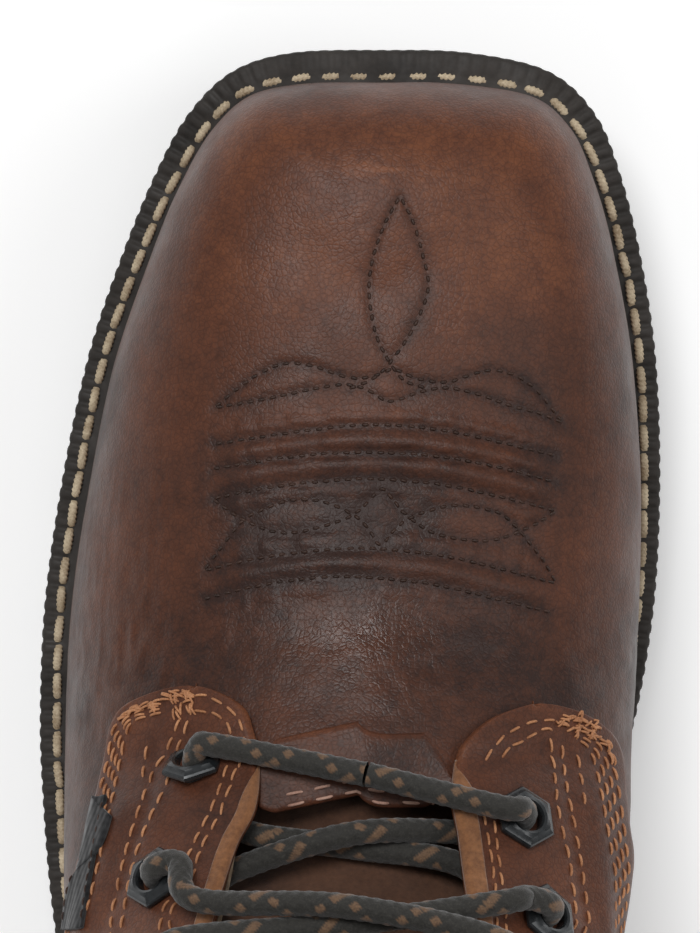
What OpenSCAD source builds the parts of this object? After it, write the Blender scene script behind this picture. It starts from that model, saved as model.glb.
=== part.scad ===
// Lace-up work boot for the left foot, with a wide square toe and a steel toe cap.
// +Y runs from heel to toe, +X to the inner (medial) side, +Z up from the ground.
//
// The upper is one surface, rib(t, v). Coordinate t counts the stations in LAST:
// 0 at the middle of the toe, HEEL at the middle of the heel along the outer
// (lateral) side, and on to ROUND back at the toe along the inner side. Coordinate v
// runs up a rib from the welt (0) to the ridge, the lacing edge or the collar (1).
// Each leather, lining and cap is a sheet between two offsets from that surface.

/* [Overall] */
// Length of the sole, heel to toe
sole_length = 313; // [304:1:324]
// Width of the sole at the ball
sole_width = 120; // [116:0.5:124]
// Height of the collar at the heel
collar_height = 233; // [225:1:240]

/* [Sole] */
// Height of the welt's top above the ground at the ball
ball_height = 26; // [25:0.5:28]
// Rise of the toe above the ground
toe_spring = 12; // [9:0.5:14]
// Rise of the heel seat above the ball
heel_pitch = 18; // [16:0.5:19]
// Thickness of the welt
welt_thick = 4.4; // [4:0.1:5]
// Thickness of the midsole
midsole_thick = 7.5; // [6:0.1:8]
// Thickness of the heel's rubber top lift
top_lift = 8; // [6:0.5:9]
// Depth of the tread's grooves
lug_depth = 4.5; // [3:0.1:5]

/* [Upper] */
// Thickness of the upper leather
leather = 1.8; // [1.6:0.1:1.9]
// Thickness of the steel cap
cap_thick = 2.1; // [1.9:0.1:2.3]
// Thickness of the padding in the collar
collar_pad = 5; // [4:0.5:6]

/* [Lacing] */
// Diameter of the lace
lace_d = 4.5; // [4:0.1:4.6]
// Width of an eyelet across its corners
eyelet_across = 12.4; // [12:0.1:13]
// Radius of an eyelet's hole
eyelet_hole_r = 2.9; // [2.7:0.1:3]

/* [Hidden] */
EPS = 0.01;
AIR = 0.2;             // air between two sheets that lie on each other

LEATHER = "#6b3f2c";
DARK_LEATHER = "#4f3223";
LINING = "#a58a68";
RUBBER = "#34322f";
STEEL = "#8d9194";
BLACK = "#26292b";
LACE = "#3a3029";

// Stations of the boot, toe to heel:
//  y, x outer, x inner   the sole's edge
//  inset                 from that edge in to the upper
//  bulge outer, inner    how far the upper leans out over the welt
//  rise                  how far it rises before it turns in
//  gap, ty, tz           half of the lacing gap, and the top of the rib
//  reach, drop, back     the rib's direction where it meets its top: out, down, to the heel
LAST = [
    [ 157.0,   6.0,   6.0, 7.0,  1.5,  1.5, 31,  0.0,  119,  76,  22,   0,  0],
    [ 156.5, -11.0,  22.5, 6.8,  1.5,  1.5, 31,  0.0,  118,  76,  23,   0,  0],
    [ 153.0, -22.5,  38.0, 6.4,  1.5,  1.5, 31,  0.0,  116,  76,  30,   0,  0],
    [ 145.0, -31.0,  47.0, 6.2,  1.5,  1.5, 32,  0.0,  113,  76,  34,   0,  0],
    [ 133.5, -37.5,  52.0, 6.0,  1.5,  1.5, 33,  0.0,  109,  76,  37,   0,  0],
    [ 118.0, -44.0,  56.0, 6.0,  1.5,  2.0, 34,  0.0,  103,  77,  38,   0,  0],
    [  99.0, -50.5,  59.0, 6.0,  2.0,  3.5, 35,  0.0,   91,  78,  39,   0,  0],
    [  76.0, -55.5,  60.0, 6.0,  2.0,  6.0, 36,  0.0,   71,  80,  39,   0,  0],
    [  52.0, -59.0,  59.0, 6.0,  3.0,  9.5, 34,  0.0,   46,  85,  36,  -1,  0],
    [  30.0, -60.0,  55.5, 6.2,  4.0, 14.5, 32,  0.0,   22,  94,  38,   0,  0],
    [  14.0, -59.5,  50.5, 6.2,  5.0, 19.5, 32, 18.0,   18,  94,  28,  -5,  0],
    [  -4.0, -58.0,  44.5, 6.0,  6.0, 23.0, 34, 22.5,    0, 106,  27, -11,  3],
    [ -24.0, -55.0,  38.5, 5.5,  6.5, 18.0, 40, 24.5,  -20, 125,  22, -14,  9],
    [ -42.0, -52.0,  35.5, 5.0,  7.0, 12.0, 48, 23.5,  -34, 149,  18, -17, 16],
    [ -56.0, -49.0,  34.5, 4.6,  7.0,  9.0, 58, 23.0,  -42, 178,  16, -19, 22],
    [ -68.0, -47.0,  34.0, 4.4,  6.0,  7.0, 66, 23.0,  -47, 208,  15, -20, 26],
    [ -80.0, -46.0,  34.5, 4.4,  6.0,  6.0, 70, 24.0,  -50, 238,  15, -28, 20],
    [ -98.0, -45.0,  35.0, 4.4,  5.0,  5.0, 68, 41.0,  -72, 235,  -2, -62,  0],
    [-118.0, -43.5,  34.5, 4.4,  5.0,  5.0, 64, 46.5, -103, 230,  -5, -60,  0],
    [-138.0, -37.0,  28.0, 4.4,  5.0,  5.0, 60, 36.0, -135, 229,  -9, -58,  0],
    [-150.8, -22.0,  12.5, 4.4,  6.0,  6.0, 58, 16.0, -147, 232, -12, -58,  0],
    [-156.0,  -5.0,  -5.0, 4.4,  6.0,  6.0, 58,  0.0, -150, 233, -13, -58,  0],
];
HEEL = len(LAST) - 1;
ROUND = 2 * HEEL;
THROAT = 9;            // station where the lacing gap opens
WING = 10;             // last station of the vamp, beside the gap
CORNER = 16;           // station at the front corner of the collar
CAP = 6;               // last station of the steel cap
STEP = 0.5;            // spacing of the sheets' rows

sx = sole_width / 120;
sy = sole_length / 313;
sz = collar_height / 233;

// One side's row: edge x, edge y, inset, bulge, rise, gap, ty, tz, reach, drop, back
function side_row(r, side) = [
    (side < 0 ? r[1] : r[2]) * sx, r[0] * sy, r[3], side < 0 ? r[4] : r[5], r[6],
    side * r[7] * sx, r[8] * sy, r[9] * sz, r[10], r[11], r[12]];
RING = [
    for (k = [0:HEEL]) side_row(LAST[k], -1),
    for (k = [HEEL - 1:-1:1]) side_row(LAST[k], 1)
];

function clamp(x, a, b) = max(a, min(b, x));
function smooth(x) = let (c = clamp(x, 0, 1)) c * c * (3 - 2 * c);
function mix(a, b, f) = a + (b - a) * f;
function unit(p) = p / norm(p);
function around(t) = t - ROUND * floor(t / ROUND);
function station(t) = let (w = around(t)) w < HEEL ? w : ROUND - w;
function side_of(t) = around(t) < HEEL ? -1 : 1;
function at_side(k, side) = side < 0 ? k : ROUND - k;

// A smooth curve through four values, between the middle two
function catmull(p, q, r, s, f) =
    0.5 * (2 * q + (r - p) * f + (2 * p - 5 * q + 4 * r - s) * f * f
           + (3 * q - p - 3 * r + s) * f * f * f);
function ring_row(t) = let (w = around(t), k = floor(w))
    catmull(RING[(k + ROUND - 1) % ROUND], RING[k % ROUND], RING[(k + 1) % ROUND],
            RING[(k + 2) % ROUND], w - k);

// The sole's edge in plan, and its outward direction
function edge(t) = let (r = ring_row(t)) [r[0], r[1]];
function outward(t) = let (d = edge(t + 0.04) - edge(t - 0.04)) unit([d[1], -d[0]]);
function edge_in(t, inset) = edge(t) - outward(t) * inset;
function feather(t, inset) = edge_in(t, ring_row(t)[2] + inset);

// Heights of the sole at a place along the foot
function spring(y) = toe_spring * pow(max(0, (y / sy - 55) / 103), 2);
function platform(y) = ball_height + spring(y) + heel_pitch * smooth((15 - y / sy) / 100);
function arch(y) = spring(y) + (ball_height + heel_pitch - welt_thick - midsole_thick - 6)
    * smooth((-5 - y / sy) / 75);
function midline(y) = mix(mix(-5, 1.5, smooth((y / sy + 60) / 90)), 6,
                          smooth((y / sy - 25) / 80));

// The upper's surface
function bezier(a, b, c, d, v) = let (u = 1 - v)
    a * u * u * u + b * 3 * u * u * v + c * 3 * u * v * v + d * v * v * v;
function rib(t, v) = let (
    r = ring_row(t),
    k = station(t),
    out = outward(t),
    b = edge_in(t, r[2]),
    gap = side_of(t) < 0 ? min(0, r[5]) : max(0, r[5]),
    top = [midline(r[6]) + gap, r[6]],
    sideways = [side_of(t), 0],
    near = unit(mix(b - top, sideways * 40, smooth((k - 3) / 3))),
    d = unit(mix(near, out, smooth((k - 10) / 3))),
    z = platform(b[1]))
    bezier([b[0], b[1], z],
           [b[0] + out[0] * r[3], b[1] + out[1] * r[3], z + r[4]],
           [top[0] + d[0] * r[8], top[1] + d[1] * r[8] - r[10], r[7] + r[9]],
           [top[0], top[1], r[7]], v);
// Past the ridge, v runs on down the other side
function rib_over(t, v) = v <= 1 ? rib(t, v) : rib(ROUND - t, 2 - v);
// At the throat's corners the ribs' tops run along the ribs, so the normal is read lower
function corner(k) = smooth((k - 8.6) / 0.4) * smooth((10.6 - k) / 0.6);
function skin_normal(t, height) = let (
    v = min(height, 1 - 0.2 * corner(station(t))),
    e = 0.03,
    over = station(t) < THROAT && station(t) > STEP / 2,
    v1 = over ? v + e : min(1, v + e),
    v2 = min(v, 0.985))
    unit(cross(rib(t + e, v2) - rib(t - e, v2), rib_over(t, v1) - rib(t, max(0, v - e))));
// A point at an offset outward from the surface, with v < 0 straight down past the welt
function skin(t, v, off) =
    v > 1 ? skin(ROUND - t, 2 - v, off)
    : v < 0 ? let (p = feather(t, -off)) [p[0], p[1], platform(feather(t, 0)[1]) + v * 100]
    : let (p = rib(t, v) + skin_normal(t, v) * off)
        [p[0], p[1], max(p[2], platform(p[1]) + 1.5 * AIR)];
// The v that lies at a distance from the rib's top
function from_top(t, distance) = let (r = ring_row(t))
    1 - distance / (3 * norm([r[8], r[9], r[10]]));

// ---- solids from grids of points -------------------------------------------------

// Closed solid between two grids of points. With fold > 0, the last column of the
// first and last fold rows is one line, seen from both sides: the ridge of a toe.
module between(outer, inner, fold = 0) {
    rows = len(outer);
    cols = len(outer[0]);
    n = rows * cols;
    open_rows = fold > 0 ? (rows - fold) / 2 : rows;
    function ridge(i) = i >= open_rows && i < rows - open_rows;
    function a(i, j) = (j == cols - 1 && ridge(i) && i > (rows - 1) / 2 ? rows - 1 - i : i)
        * cols + j;
    function b(i, j) = n + a(i, j);
    polyhedron(
        points = concat([for (r = outer) each r], [for (r = inner) each r]),
        faces = [
            for (i = [0:rows - 2], j = [0:cols - 2]) each [
                [a(i, j), a(i + 1, j + 1), a(i + 1, j)],
                [a(i, j), a(i, j + 1), a(i + 1, j + 1)],
                [b(i, j), b(i + 1, j), b(i + 1, j + 1)],
                [b(i, j), b(i + 1, j + 1), b(i, j + 1)]],
            for (i = [0:rows - 2]) each [
                [a(i, 0), a(i + 1, 0), b(i + 1, 0)],
                [a(i, 0), b(i + 1, 0), b(i, 0)]],
            for (i = [0:rows - 2]) if (!(ridge(i) && ridge(i + 1))) each [
                [a(i, cols - 1), b(i + 1, cols - 1), a(i + 1, cols - 1)],
                [a(i, cols - 1), b(i, cols - 1), b(i + 1, cols - 1)]],
            for (j = [0:cols - 2]) each [
                [a(0, j), b(0, j), b(0, j + 1)],
                [a(0, j), b(0, j + 1), a(0, j + 1)],
                [a(rows - 1, j), b(rows - 1, j + 1), b(rows - 1, j)],
                [a(rows - 1, j), a(rows - 1, j + 1), b(rows - 1, j + 1)]]
        ]);
}

// Sheet of the upper over rows T and columns V, between two offsets
module sheet(T, V, outer, inner, fold = 0) {
    between([for (t = T) [for (v = V) skin(t, v, outer)]],
            [for (t = T) [for (v = V) skin(t, v, inner)]], fold);
}

// Closed ring or capped tube through cross sections, each a list of points
module loft(sections, closed = false) {
    rows = len(sections);
    n = len(sections[0]);
    function at(i, j) = (i % rows) * n + j % n;
    polyhedron(
        points = [for (s = sections) each s],
        faces = concat(
            [for (i = [0:rows - (closed ? 1 : 2)], j = [0:n - 1]) each [
                [at(i, j), at(i + 1, j + 1), at(i + 1, j)],
                [at(i, j), at(i, j + 1), at(i + 1, j + 1)]]],
            closed ? [] : [for (j = [1:n - 2]) [at(0, 0), at(0, j + 1), at(0, j)]],
            closed ? [] : [for (j = [1:n - 2])
                [at(rows - 1, 0), at(rows - 1, j), at(rows - 1, j + 1)]]));
}

// Round tube along points, its sections square to the path
function path_dir(p, i) = unit(p[min(i + 1, len(p) - 1)] - p[max(i - 1, 0)]);
module tube(p, r, sides = 8) {
    loft([for (i = [0:len(p) - 1]) let (
        d = path_dir(p, i),
        s = unit(cross(d, abs(d[2]) > 0.9 ? [0, 1, 0] : [0, 0, 1])),
        u = cross(s, d))
        [for (j = [0:sides - 1]) let (a = -360 * j / sides)
            p[i] + s * r * cos(a) + u * r * sin(a)]]);
}

// Points spread along a smooth curve through a route
function curve(p, per) = [
    for (i = [0:len(p) - 2], f = [0:per - 1])
        catmull(p[max(i - 1, 0)], p[i], p[i + 1], p[min(i + 2, len(p) - 1)], f / per),
    p[len(p) - 1]];

// Slab of the sole: rows of stations, between two heights that depend on y
function slab_points(K, W, inset, z) = [
    for (k = K) let (l = edge_in(k, inset), m = edge_in(ROUND - k, inset))
        [for (w = W) let (p = mix(l, m, w)) [p[0], p[1], z(k, w, p[1])]]];
module slab(K, W, inset, top, under) {
    between(slab_points(K, W, inset, top), slab_points(K, W, inset, under));
}
function steps(a, b, by) = let (n = round((b - a) / by)) [for (i = [0:n]) a + (b - a) * i / n];
TIP = 0.4;             // a slab starts and ends this far from the ring's ends
WHOLE = [TIP, each steps(1, HEEL - 1, STEP), HEEL - TIP];

// ---- sole --------------------------------------------------------------------------

// A tread row is a groove, then a bar. Two channels run along it.
GROOVE = 0.3;
WALL = 0.02;
function tread_rows(k0, k1) = [k0 - WALL, for (k = [k0:k1 - 1]) each
    [k, k + GROOVE, k + GROOVE + WALL, k + 1 - WALL]];
TREAD_W = [0, 0.17, 0.18, 0.22, 0.23, 0.77, 0.78, 0.82, 0.83, 1];
function is_groove(k, w) = let (f = k - floor(k + EPS))
    (f > -EPS && f < GROOVE + EPS) || (w > 0.175 && w < 0.225) || (w > 0.775 && w < 0.825);

module outsole() {
    color(RUBBER) slab([TIP, 1 - WALL, each tread_rows(1, 12), 12.5, each steps(13, HEEL - 1, 1),
                        HEEL - TIP], TREAD_W, 0,
        function(k, w, y) platform(y) - welt_thick - midsole_thick,
        function(k, w, y) arch(y) + (k < 12 && k > TIP && is_groove(k, w) ? lug_depth : 0));
}

HEEL_ROWS = [16.4, each steps(17, HEEL - 1, STEP), HEEL - TIP];
module heel_block() {
    color("#3b302a") slab(HEEL_ROWS, [0, 0.5, 1], 0.6,
        function(k, w, y) arch(y) - AIR,
        function(k, w, y) top_lift);
}

module heel_top_lift() {
    color(RUBBER) slab([16.4, each tread_rows(17, 20), HEEL - TIP], TREAD_W, 0.3,
        function(k, w, y) top_lift - AIR / 2,
        function(k, w, y) k > 16.5 && k < 20.2 && is_groove(k, w) ? 3 : 0);
}

module midsole() {
    color("#4a4540") slab(WHOLE, [0, 0.5, 1], 0.5,
        function(k, w, y) platform(y) - welt_thick - AIR / 2,
        function(k, w, y) platform(y) - welt_thick - midsole_thick + AIR / 2);
}

// The welt is a strip round the upper, on the midsole's edge
module welt() {
    color(RUBBER) loft([for (t = steps(0, ROUND - STEP, STEP)) let (
        o = edge(t), i = feather(t, -AIR), z = platform(o[1]))
        [[o[0], o[1], z], [i[0], i[1], z], [i[0], i[1], z - welt_thick],
         [o[0], o[1], z - welt_thick]]], closed = true);
}

// Stitching that shows on the welt, as far back as the heel
STITCH_END = 16.5;
module welt_stitch() {
    color("#c8b496") tube([for (t = steps(-STITCH_END, STITCH_END, STEP)) let (
        p = feather(t, mix(-1.5, -3.2, smooth((station(t) - 8.2) / 0.8))))
        [p[0], p[1], platform(p[1]) + 1.2]], 0.8, 6);
}

module cork_filler() {
    color("#9a7a50") slab([1, each steps(1.5, 12, STEP)], [0, 0.5, 1], 11,
        function(k, w, y) platform(y) - 1.5 - AIR,
        function(k, w, y) platform(y) - welt_thick + AIR / 2);
}

// Steel strip under the arch, bowed along the sole
module shank() {
    color(STEEL) loft([for (y = steps(-112, -30, 8)) let (z = platform(y) - welt_thick + 0.3)
        [[-14, y, z + 1.6], [-14, y, z], [4, y, z], [4, y, z + 1.6]]]);
}

module insole_board() {
    color("#b89b72") slab([TIP + 0.3, each steps(1, HEEL - 1, STEP), HEEL - TIP], [0, 0.5, 1], 12.5,
        function(k, w, y) platform(y) + 0.9,
        function(k, w, y) platform(y) - 1.5);
}

// The footbed lifts at the heel about its toe end
function bed_top(y) = platform(y) + 5;
module footbed() {
    color("#57524b") slab([1.2, each steps(1.5, HEEL - 1, STEP)], [0, 0.5, 1], 13,
        function(k, w, y) bed_top(y),
        function(k, w, y) platform(y) + 1.1);
}

module heel_cushion() {
    color("#7d6f5c") slab([16.5, each steps(17, HEEL - 1, STEP)], [0, 0.5, 1], 17,
        function(k, w, y) bed_top(y) + 2,
        function(k, w, y) bed_top(y) + EPS);
}

// ---- upper -------------------------------------------------------------------------

V_UP = [0, 0.07, each steps(0.16, 1, 0.12)];
V_LAST = [-0.042, each V_UP];
V_OVER = [each V_UP, for (i = [len(V_UP) - 2:-1:0]) 2 - V_UP[i]];
TOE_ROWS = steps(-CAP, CAP, STEP);

module steel_toe_cap() {
    color(STEEL) sheet(TOE_ROWS, V_UP, -leather - AIR, -leather - AIR - cap_thick, len(TOE_ROWS));
}

module toe_lining() {
    color(LINING) sheet(TOE_ROWS, V_UP, -leather - 2 * AIR - cap_thick,
                        -leather - 2 * AIR - cap_thick - 1, len(TOE_ROWS));
}

// Rubber strip on the steel cap's back edge
module toe_cap_gasket() {
    color(BLACK) sheet([CAP + 0.05, CAP + 0.2], V_OVER, -leather - AIR,
                       -leather - AIR - cap_thick - 0.6);
}

module vamp() {
    color(LEATHER) difference() {
        sheet(steps(-WING, WING, STEP), V_LAST, 0, -leather, 2 * THROAT / STEP + 1);
        at_eyelet(-1, EYELETS_LATERAL[0]) bore();
    }
}

module vamp_lining() {
    color(LINING) sheet([CAP + 0.25, each steps(CAP + 0.5, THROAT - 0.5, STEP)], V_OVER,
                        -leather - AIR, -leather - AIR - 1);
}

// Inner stiffener at the heel and padding at the collar push the lining in
function stiff(k, v) = smooth((k - 16) / 1) * smooth((0.44 - v) / 0.12);
function padded(k, v) = smooth((k - 16) / 1) * smooth((v - 0.7) / 0.15);
function lining_off(t, v) = -0.1 - 1.9 * stiff(station(t), v) - collar_pad * padded(station(t), v);

BORE_R = 4.1;          // holes for the eyelets
module bore() { translate([0, 0, -9]) cylinder(h = 18, r = BORE_R, $fn = 32); }
module bores(side, first = 0) {
    E = eyelets_on(side);
    for (i = [first:len(E) - 1]) at_eyelet(side, E[i]) bore();
}

module quarter(side) {
    rows = side < 0 ? steps(THROAT, HEEL, STEP) : steps(HEEL, ROUND - THROAT, STEP);
    difference() {
        between([for (t = rows) [for (v = V_UP) skin(t, v, AIR + leather)]],
                [for (t = rows) [for (v = V_UP) skin(t, v, AIR)]]);
        bores(side);
    }
}
module quarter_lateral() { color(LEATHER) quarter(-1); }
module quarter_medial() { color(LEATHER) quarter(1); }

module quarter_lining(side) {
    rows = side < 0 ? steps(WING + 0.5, HEEL, STEP) : steps(HEEL, ROUND - WING - 0.5, STEP);
    color(LINING) difference() {
        between([for (t = rows) [for (v = V_LAST) skin(t, v, lining_off(t, v))]],
                [for (t = rows) [for (v = V_LAST) skin(t, v, lining_off(t, v) - 1.1)]]);
        bores(side, side < 0 ? 1 : 0);
    }
}
module quarter_lining_lateral() { quarter_lining(-1); }
module quarter_lining_medial() { quarter_lining(1); }

// Facing that carries the eyelets, from a rounded tab over the vamp to the collar
// Station, and the facing's near and far edges as distances from the ribs' tops
FACING_ROWS = [8.6, 8.8, each steps(9, CORNER, STEP)];
FACING_NEAR = [[8.6, 29], [8.8, 25], [9, 22], [9.5, 12.5], [10, 0.2], [CORNER, 0.2]];
FACING_FAR = [[8.6, 37], [8.8, 42], [9, 45], [9.5, 40], [10, 34], [11, 32], [13, 29], [CORNER, 27]];
function facing_v(t, edges) = from_top(t, lookup(station(t), edges));
module eyestay(side) {
    rows = [for (k = FACING_ROWS) at_side(k, side)];
    T = side < 0 ? rows : [for (i = [len(rows) - 1:-1:0]) rows[i]];
    off = 2 * AIR + leather;
    function grid(off) = [for (t = T) [for (c = steps(0, 1, 0.25))
        skin(t, mix(facing_v(t, FACING_FAR), facing_v(t, FACING_NEAR), c), off)]];
    color(LEATHER) difference() {
        between(grid(off + leather), grid(off));
        bores(side);
    }
}
module eyestay_lateral() { eyestay(-1); }
module eyestay_medial() { eyestay(1); }

module heel_counter() {
    color("#8c7a5f") sheet(steps(17, ROUND - 17, STEP), [0, 0.07, 0.16, 0.28], 0, -1.6);
}
module counter_cover() {
    color(DARK_LEATHER) sheet(steps(17, ROUND - 17, STEP), [0, 0.07, 0.16, 0.28, 0.4],
                         leather * 2 + 2 * AIR, leather + 2 * AIR);
}
module collar_padding() {
    color("#c9c2b4") sheet(steps(17, ROUND - 17, STEP), [0.88, 0.92, 0.96, 0.99],
                           0.05, -collar_pad + 0.2);
}
module collar_band() {
    color(DARK_LEATHER) sheet(steps(CORNER + 0.5, ROUND - CORNER - 0.5, STEP), [0.88, 0.94, 1],
                         leather * 2 + 4 * AIR, leather + 4 * AIR);
}
// Blank tag in the seam behind the lateral facing
TAG = [1, 14];         // its edges, as distances past the facing's far edge
module side_label() {
    T = steps(10.2, 12.2, STEP);
    function grid(off) = [for (t = T) [for (d = [TAG[1], (TAG[0] + TAG[1]) / 2, TAG[0]])
        skin(t, from_top(t, lookup(t, FACING_FAR) + d), off)]];
    color(BLACK) between(grid(leather + 2 * AIR + 0.8), grid(leather + 2 * AIR));
}

// ---- eyelets, hooks ------------------------------------------------------------------

// Places of the lacing rows: station and distance from the facing's edge
EYELETS_LATERAL = [[9.55, 21], [10.85, 12.5], [11.6, 12], [12.35, 12], [13.1, 12]];
EYELETS_MEDIAL = [[10.34, 8.8], [11.1, 12.3], [11.8, 12], [12.45, 12], [13.1, 12]];
function eyelets_on(side) = side < 0 ? EYELETS_LATERAL : EYELETS_MEDIAL;
HOOKS = [[13.9, 12], [14.65, 12], [15.4, 12]];
function lacing_t(side, e) = at_side(e[0], side);
function lacing_v(side, e) = from_top(lacing_t(side, e), e[1]);
function lacing_point(side, e, off) = skin(lacing_t(side, e), lacing_v(side, e), off);
function lacing_normal(side, e) = skin_normal(lacing_t(side, e), lacing_v(side, e));
FACE = 2 * AIR + 2 * leather;       // outer face of the facing

// Frame on the upper: Z along the normal, X towards the lacing gap
module at_eyelet(side, e) {
    o = lacing_point(side, e, 0);
    z = lacing_normal(side, e);
    g = skin(lacing_t(side, e), 1, 0) - o;
    x = unit(g - z * (g * z));
    y = cross(z, x);
    multmatrix([[x[0], y[0], z[0], o[0]], [x[1], y[1], z[1], o[1]], [x[2], y[2], z[2], o[2]],
                [0, 0, 0, 1]]) children();
}
module eyelet() {
    difference() {
        union() {
            translate([0, 0, FACE + 0.45]) cylinder(h = 1.1, d = eyelet_across, $fn = 6);
            translate([0, 0, FACE + 1.5]) cylinder(h = 0.9, d = eyelet_across - 3, $fn = 6);
            translate([0, 0, -2.7]) cylinder(h = FACE + 4, r = eyelet_hole_r + 0.8, $fn = 32);
        }
        translate([0, 0, -3]) cylinder(h = FACE + 6, r = eyelet_hole_r, $fn = 32);
    }
}
module washer() {
    translate([0, 0, -2.7]) difference() {
        cylinder(h = 0.6, r = 6, $fn = 32);
        translate([0, 0, -1]) cylinder(h = 3, r = eyelet_hole_r + 0.85, $fn = 32);
    }
}
module eyelets(side) { for (e = eyelets_on(side)) at_eyelet(side, e) eyelet(); }
module washers(side) { for (e = eyelets_on(side)) at_eyelet(side, e) washer(); }
module eyelets_lateral() { color(BLACK) eyelets(-1); }
module eyelets_medial() { color(BLACK) eyelets(1); }
module washers_lateral() { color(STEEL) washers(-1); }
module washers_medial() { color(STEEL) washers(1); }

HOOK_R = 3;
module hook() {
    translate([0, 0, FACE + 0.45]) {
        cylinder(h = 1, r = 5.5, $fn = 32);
        translate([1, 0, 1 + HOOK_R]) rotate([90, 0, 0]) rotate([0, 0, -90])
            translate([0, 0, -2.5]) rotate_extrude(angle = 180, $fn = 48)
                translate([HOOK_R, 0]) square([1, 5]);
        translate([-5, -2.5, 1 + 2 * HOOK_R]) cube([6, 5, 1]);
    }
}
module hooks(side) { for (e = HOOKS) at_eyelet(side, e) hook(); }
module hooks_lateral() { color(BLACK) hooks(-1); }
module hooks_medial() { color(BLACK) hooks(1); }

// ---- tongue ---------------------------------------------------------------------------

// The tongue runs under the facings, from beneath the vamp's edge to above the collar
TONGUE_FRONT = 8.4;
TONGUE_SIDE = 13;      // how far it reaches under a facing
TONGUE_RISE = [10, 20];
TONGUE_ROWS = [TONGUE_FRONT, 9, each steps(WING, CORNER, STEP)];
function tongue_depth(k) = mix(4.4, 10.8, smooth((k - TONGUE_FRONT) / 0.8));
function tongue_edge(k) = mix(0.72, 1, smooth((k - TONGUE_FRONT) / 1.6));
function tongue_v(t, k, d) = tongue_edge(k) - (1 - from_top(t, d));
function tongue_up(k) = unit(skin_normal(at_side(k, -1), 0.98) + skin_normal(at_side(k, 1), 0.98));
CROWN = 3.5;
function tongue_row(k, off) = let (
    l = at_side(k, -1), m = at_side(k, 1), o = off - tongue_depth(k),
    a = skin(l, tongue_edge(k), o), b = skin(m, tongue_edge(k), o), up = tongue_up(k))
    [each [for (d = [TONGUE_SIDE, TONGUE_SIDE / 2]) skin(l, tongue_v(l, k, d), o)],
     each [for (f = [0, 0.25, 0.5, 0.75, 1]) mix(a, b, f) + up * CROWN * 4 * f * (1 - f)],
     each [for (d = [TONGUE_SIDE / 2, TONGUE_SIDE]) skin(m, tongue_v(m, k, d), o)]];
function tongue_grid(off) = let (
    rows = [for (k = TONGUE_ROWS) tongue_row(k, off)],
    n = len(rows),
    dir = unit(rows[n - 1][4] - rows[n - 2][4]))
    [each rows, for (rise = TONGUE_RISE) [for (p = rows[n - 1]) p + dir * rise]];
function tongue_centre(k, off) = tongue_row(k, 0)[4] + tongue_up(k) * off;

module tongue() {
    color(DARK_LEATHER) between(tongue_grid(0), tongue_grid(-1.6));
}
module tongue_padding() {
    color(LINING) between(tongue_grid(-1.6 - AIR / 2), tongue_grid(-5.5));
}

// ---- lace -----------------------------------------------------------------------------

// Each half starts at the middle of the bar, goes down into its own first eyelet, and
// crosses to the other side at every row: under the facings, then over them.
UNDER = -2.1 - lace_d / 2;
OVER = FACE + 2.5 + lace_d / 2;
ON_FACE = FACE + lace_d / 2 + 0.3;
LAY = lace_d + 0.6;    // one strand lies on the other where they cross
function lace_at(side, e, nearer, off, along = 0) = let (k = e[0] + along, t = at_side(k, side))
    skin(t, min(1, from_top(t, e[1] - nearer)), off);
function through(side, e, down) = let (p = [
    lace_at(side, e, 7, OVER - 0.6), lace_at(side, e, 2, OVER - 1), lace_at(side, e, 0, 3),
    lace_at(side, e, 1, UNDER)])
    down ? p : [for (i = [3:-1:0]) p[i]];
function under_cross(side, k, top) = [
    lace_at(side, [k, 0], 0, UNDER, -0.15),
    tongue_centre(k, lace_d / 2 + 1.2 + (top ? LAY : 0)),
    lace_at(-side, [k, 0], 0, UNDER, 0.15)];
// Out from under the facing, round its edge and on to the first hook
function round_edge(side, e) = [
    lace_at(side, [e[0], 0], 0, UNDER - 1, -0.2),
    mix(lace_at(side, [e[0], 0], 0, 2.5, -0.15), lace_at(-side, [e[0], 0], 0, 2.5, -0.15), 0.11),
    lace_at(side, e, 8, ON_FACE + 1, -0.15)];
function over_cross(side, k, top) = [
    lace_at(side, [k, 0], 0, ON_FACE + 1, -0.15),
    tongue_centre(k, 11.5 + (top ? LAY : 0)),
    lace_at(-side, [k, 0], 0, ON_FACE + 1, 0.15)];
function round_hook(side, e) = [
    lace_at(side, e, 3, OVER - 0.3, -0.2), lace_at(side, e, 0, OVER - 0.3, 0),
    lace_at(side, e, 3, OVER - 0.3, 0.2)];
function rows_on(side) = [each eyelets_on(side), each HOOKS];
LEFT = rows_on(-1);
RIGHT = rows_on(1);
EYES = len(EYELETS_LATERAL);
function half_way(i) = (LEFT[i][0] + LEFT[i + 1][0] + RIGHT[i][0] + RIGHT[i + 1][0]) / 4;
BAR = (lace_at(-1, LEFT[0], 12, OVER) + lace_at(1, RIGHT[0], 12, OVER)) / 2;
KNOT_K = 15.75;
KNOT = tongue_centre(KNOT_K, 13);
function half_lace(side) = let (top = side > 0) [
    BAR + [side * 0.2, 0, 0],
    each [for (i = [0:len(LEFT) - 1]) let (
        s = i % 2 == 0 ? side : -side,
        row = rows_on(s)[i],
        eye = i < EYES,
        here = eye ? through(s, row, i % 2 == 0) : round_hook(s, row),
        next = i == len(LEFT) - 1 ? []
            : i == EYES - 1 ? [each under_cross(s, half_way(i) - 0.2, top),
                               each round_edge(-s, rows_on(-s)[i + 1])]
            : i % 2 == 0 && eye ? under_cross(s, half_way(i), top)
            : over_cross(s, half_way(i), top))
        each [each here, each next]],
    lace_at(-side, [KNOT_K, 0], 0, ON_FACE + 2),
    KNOT + [side * -6, 0, -2]];
module lace_lateral() { color(LACE) tube(curve(half_lace(-1), 2), lace_d / 2); }
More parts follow.
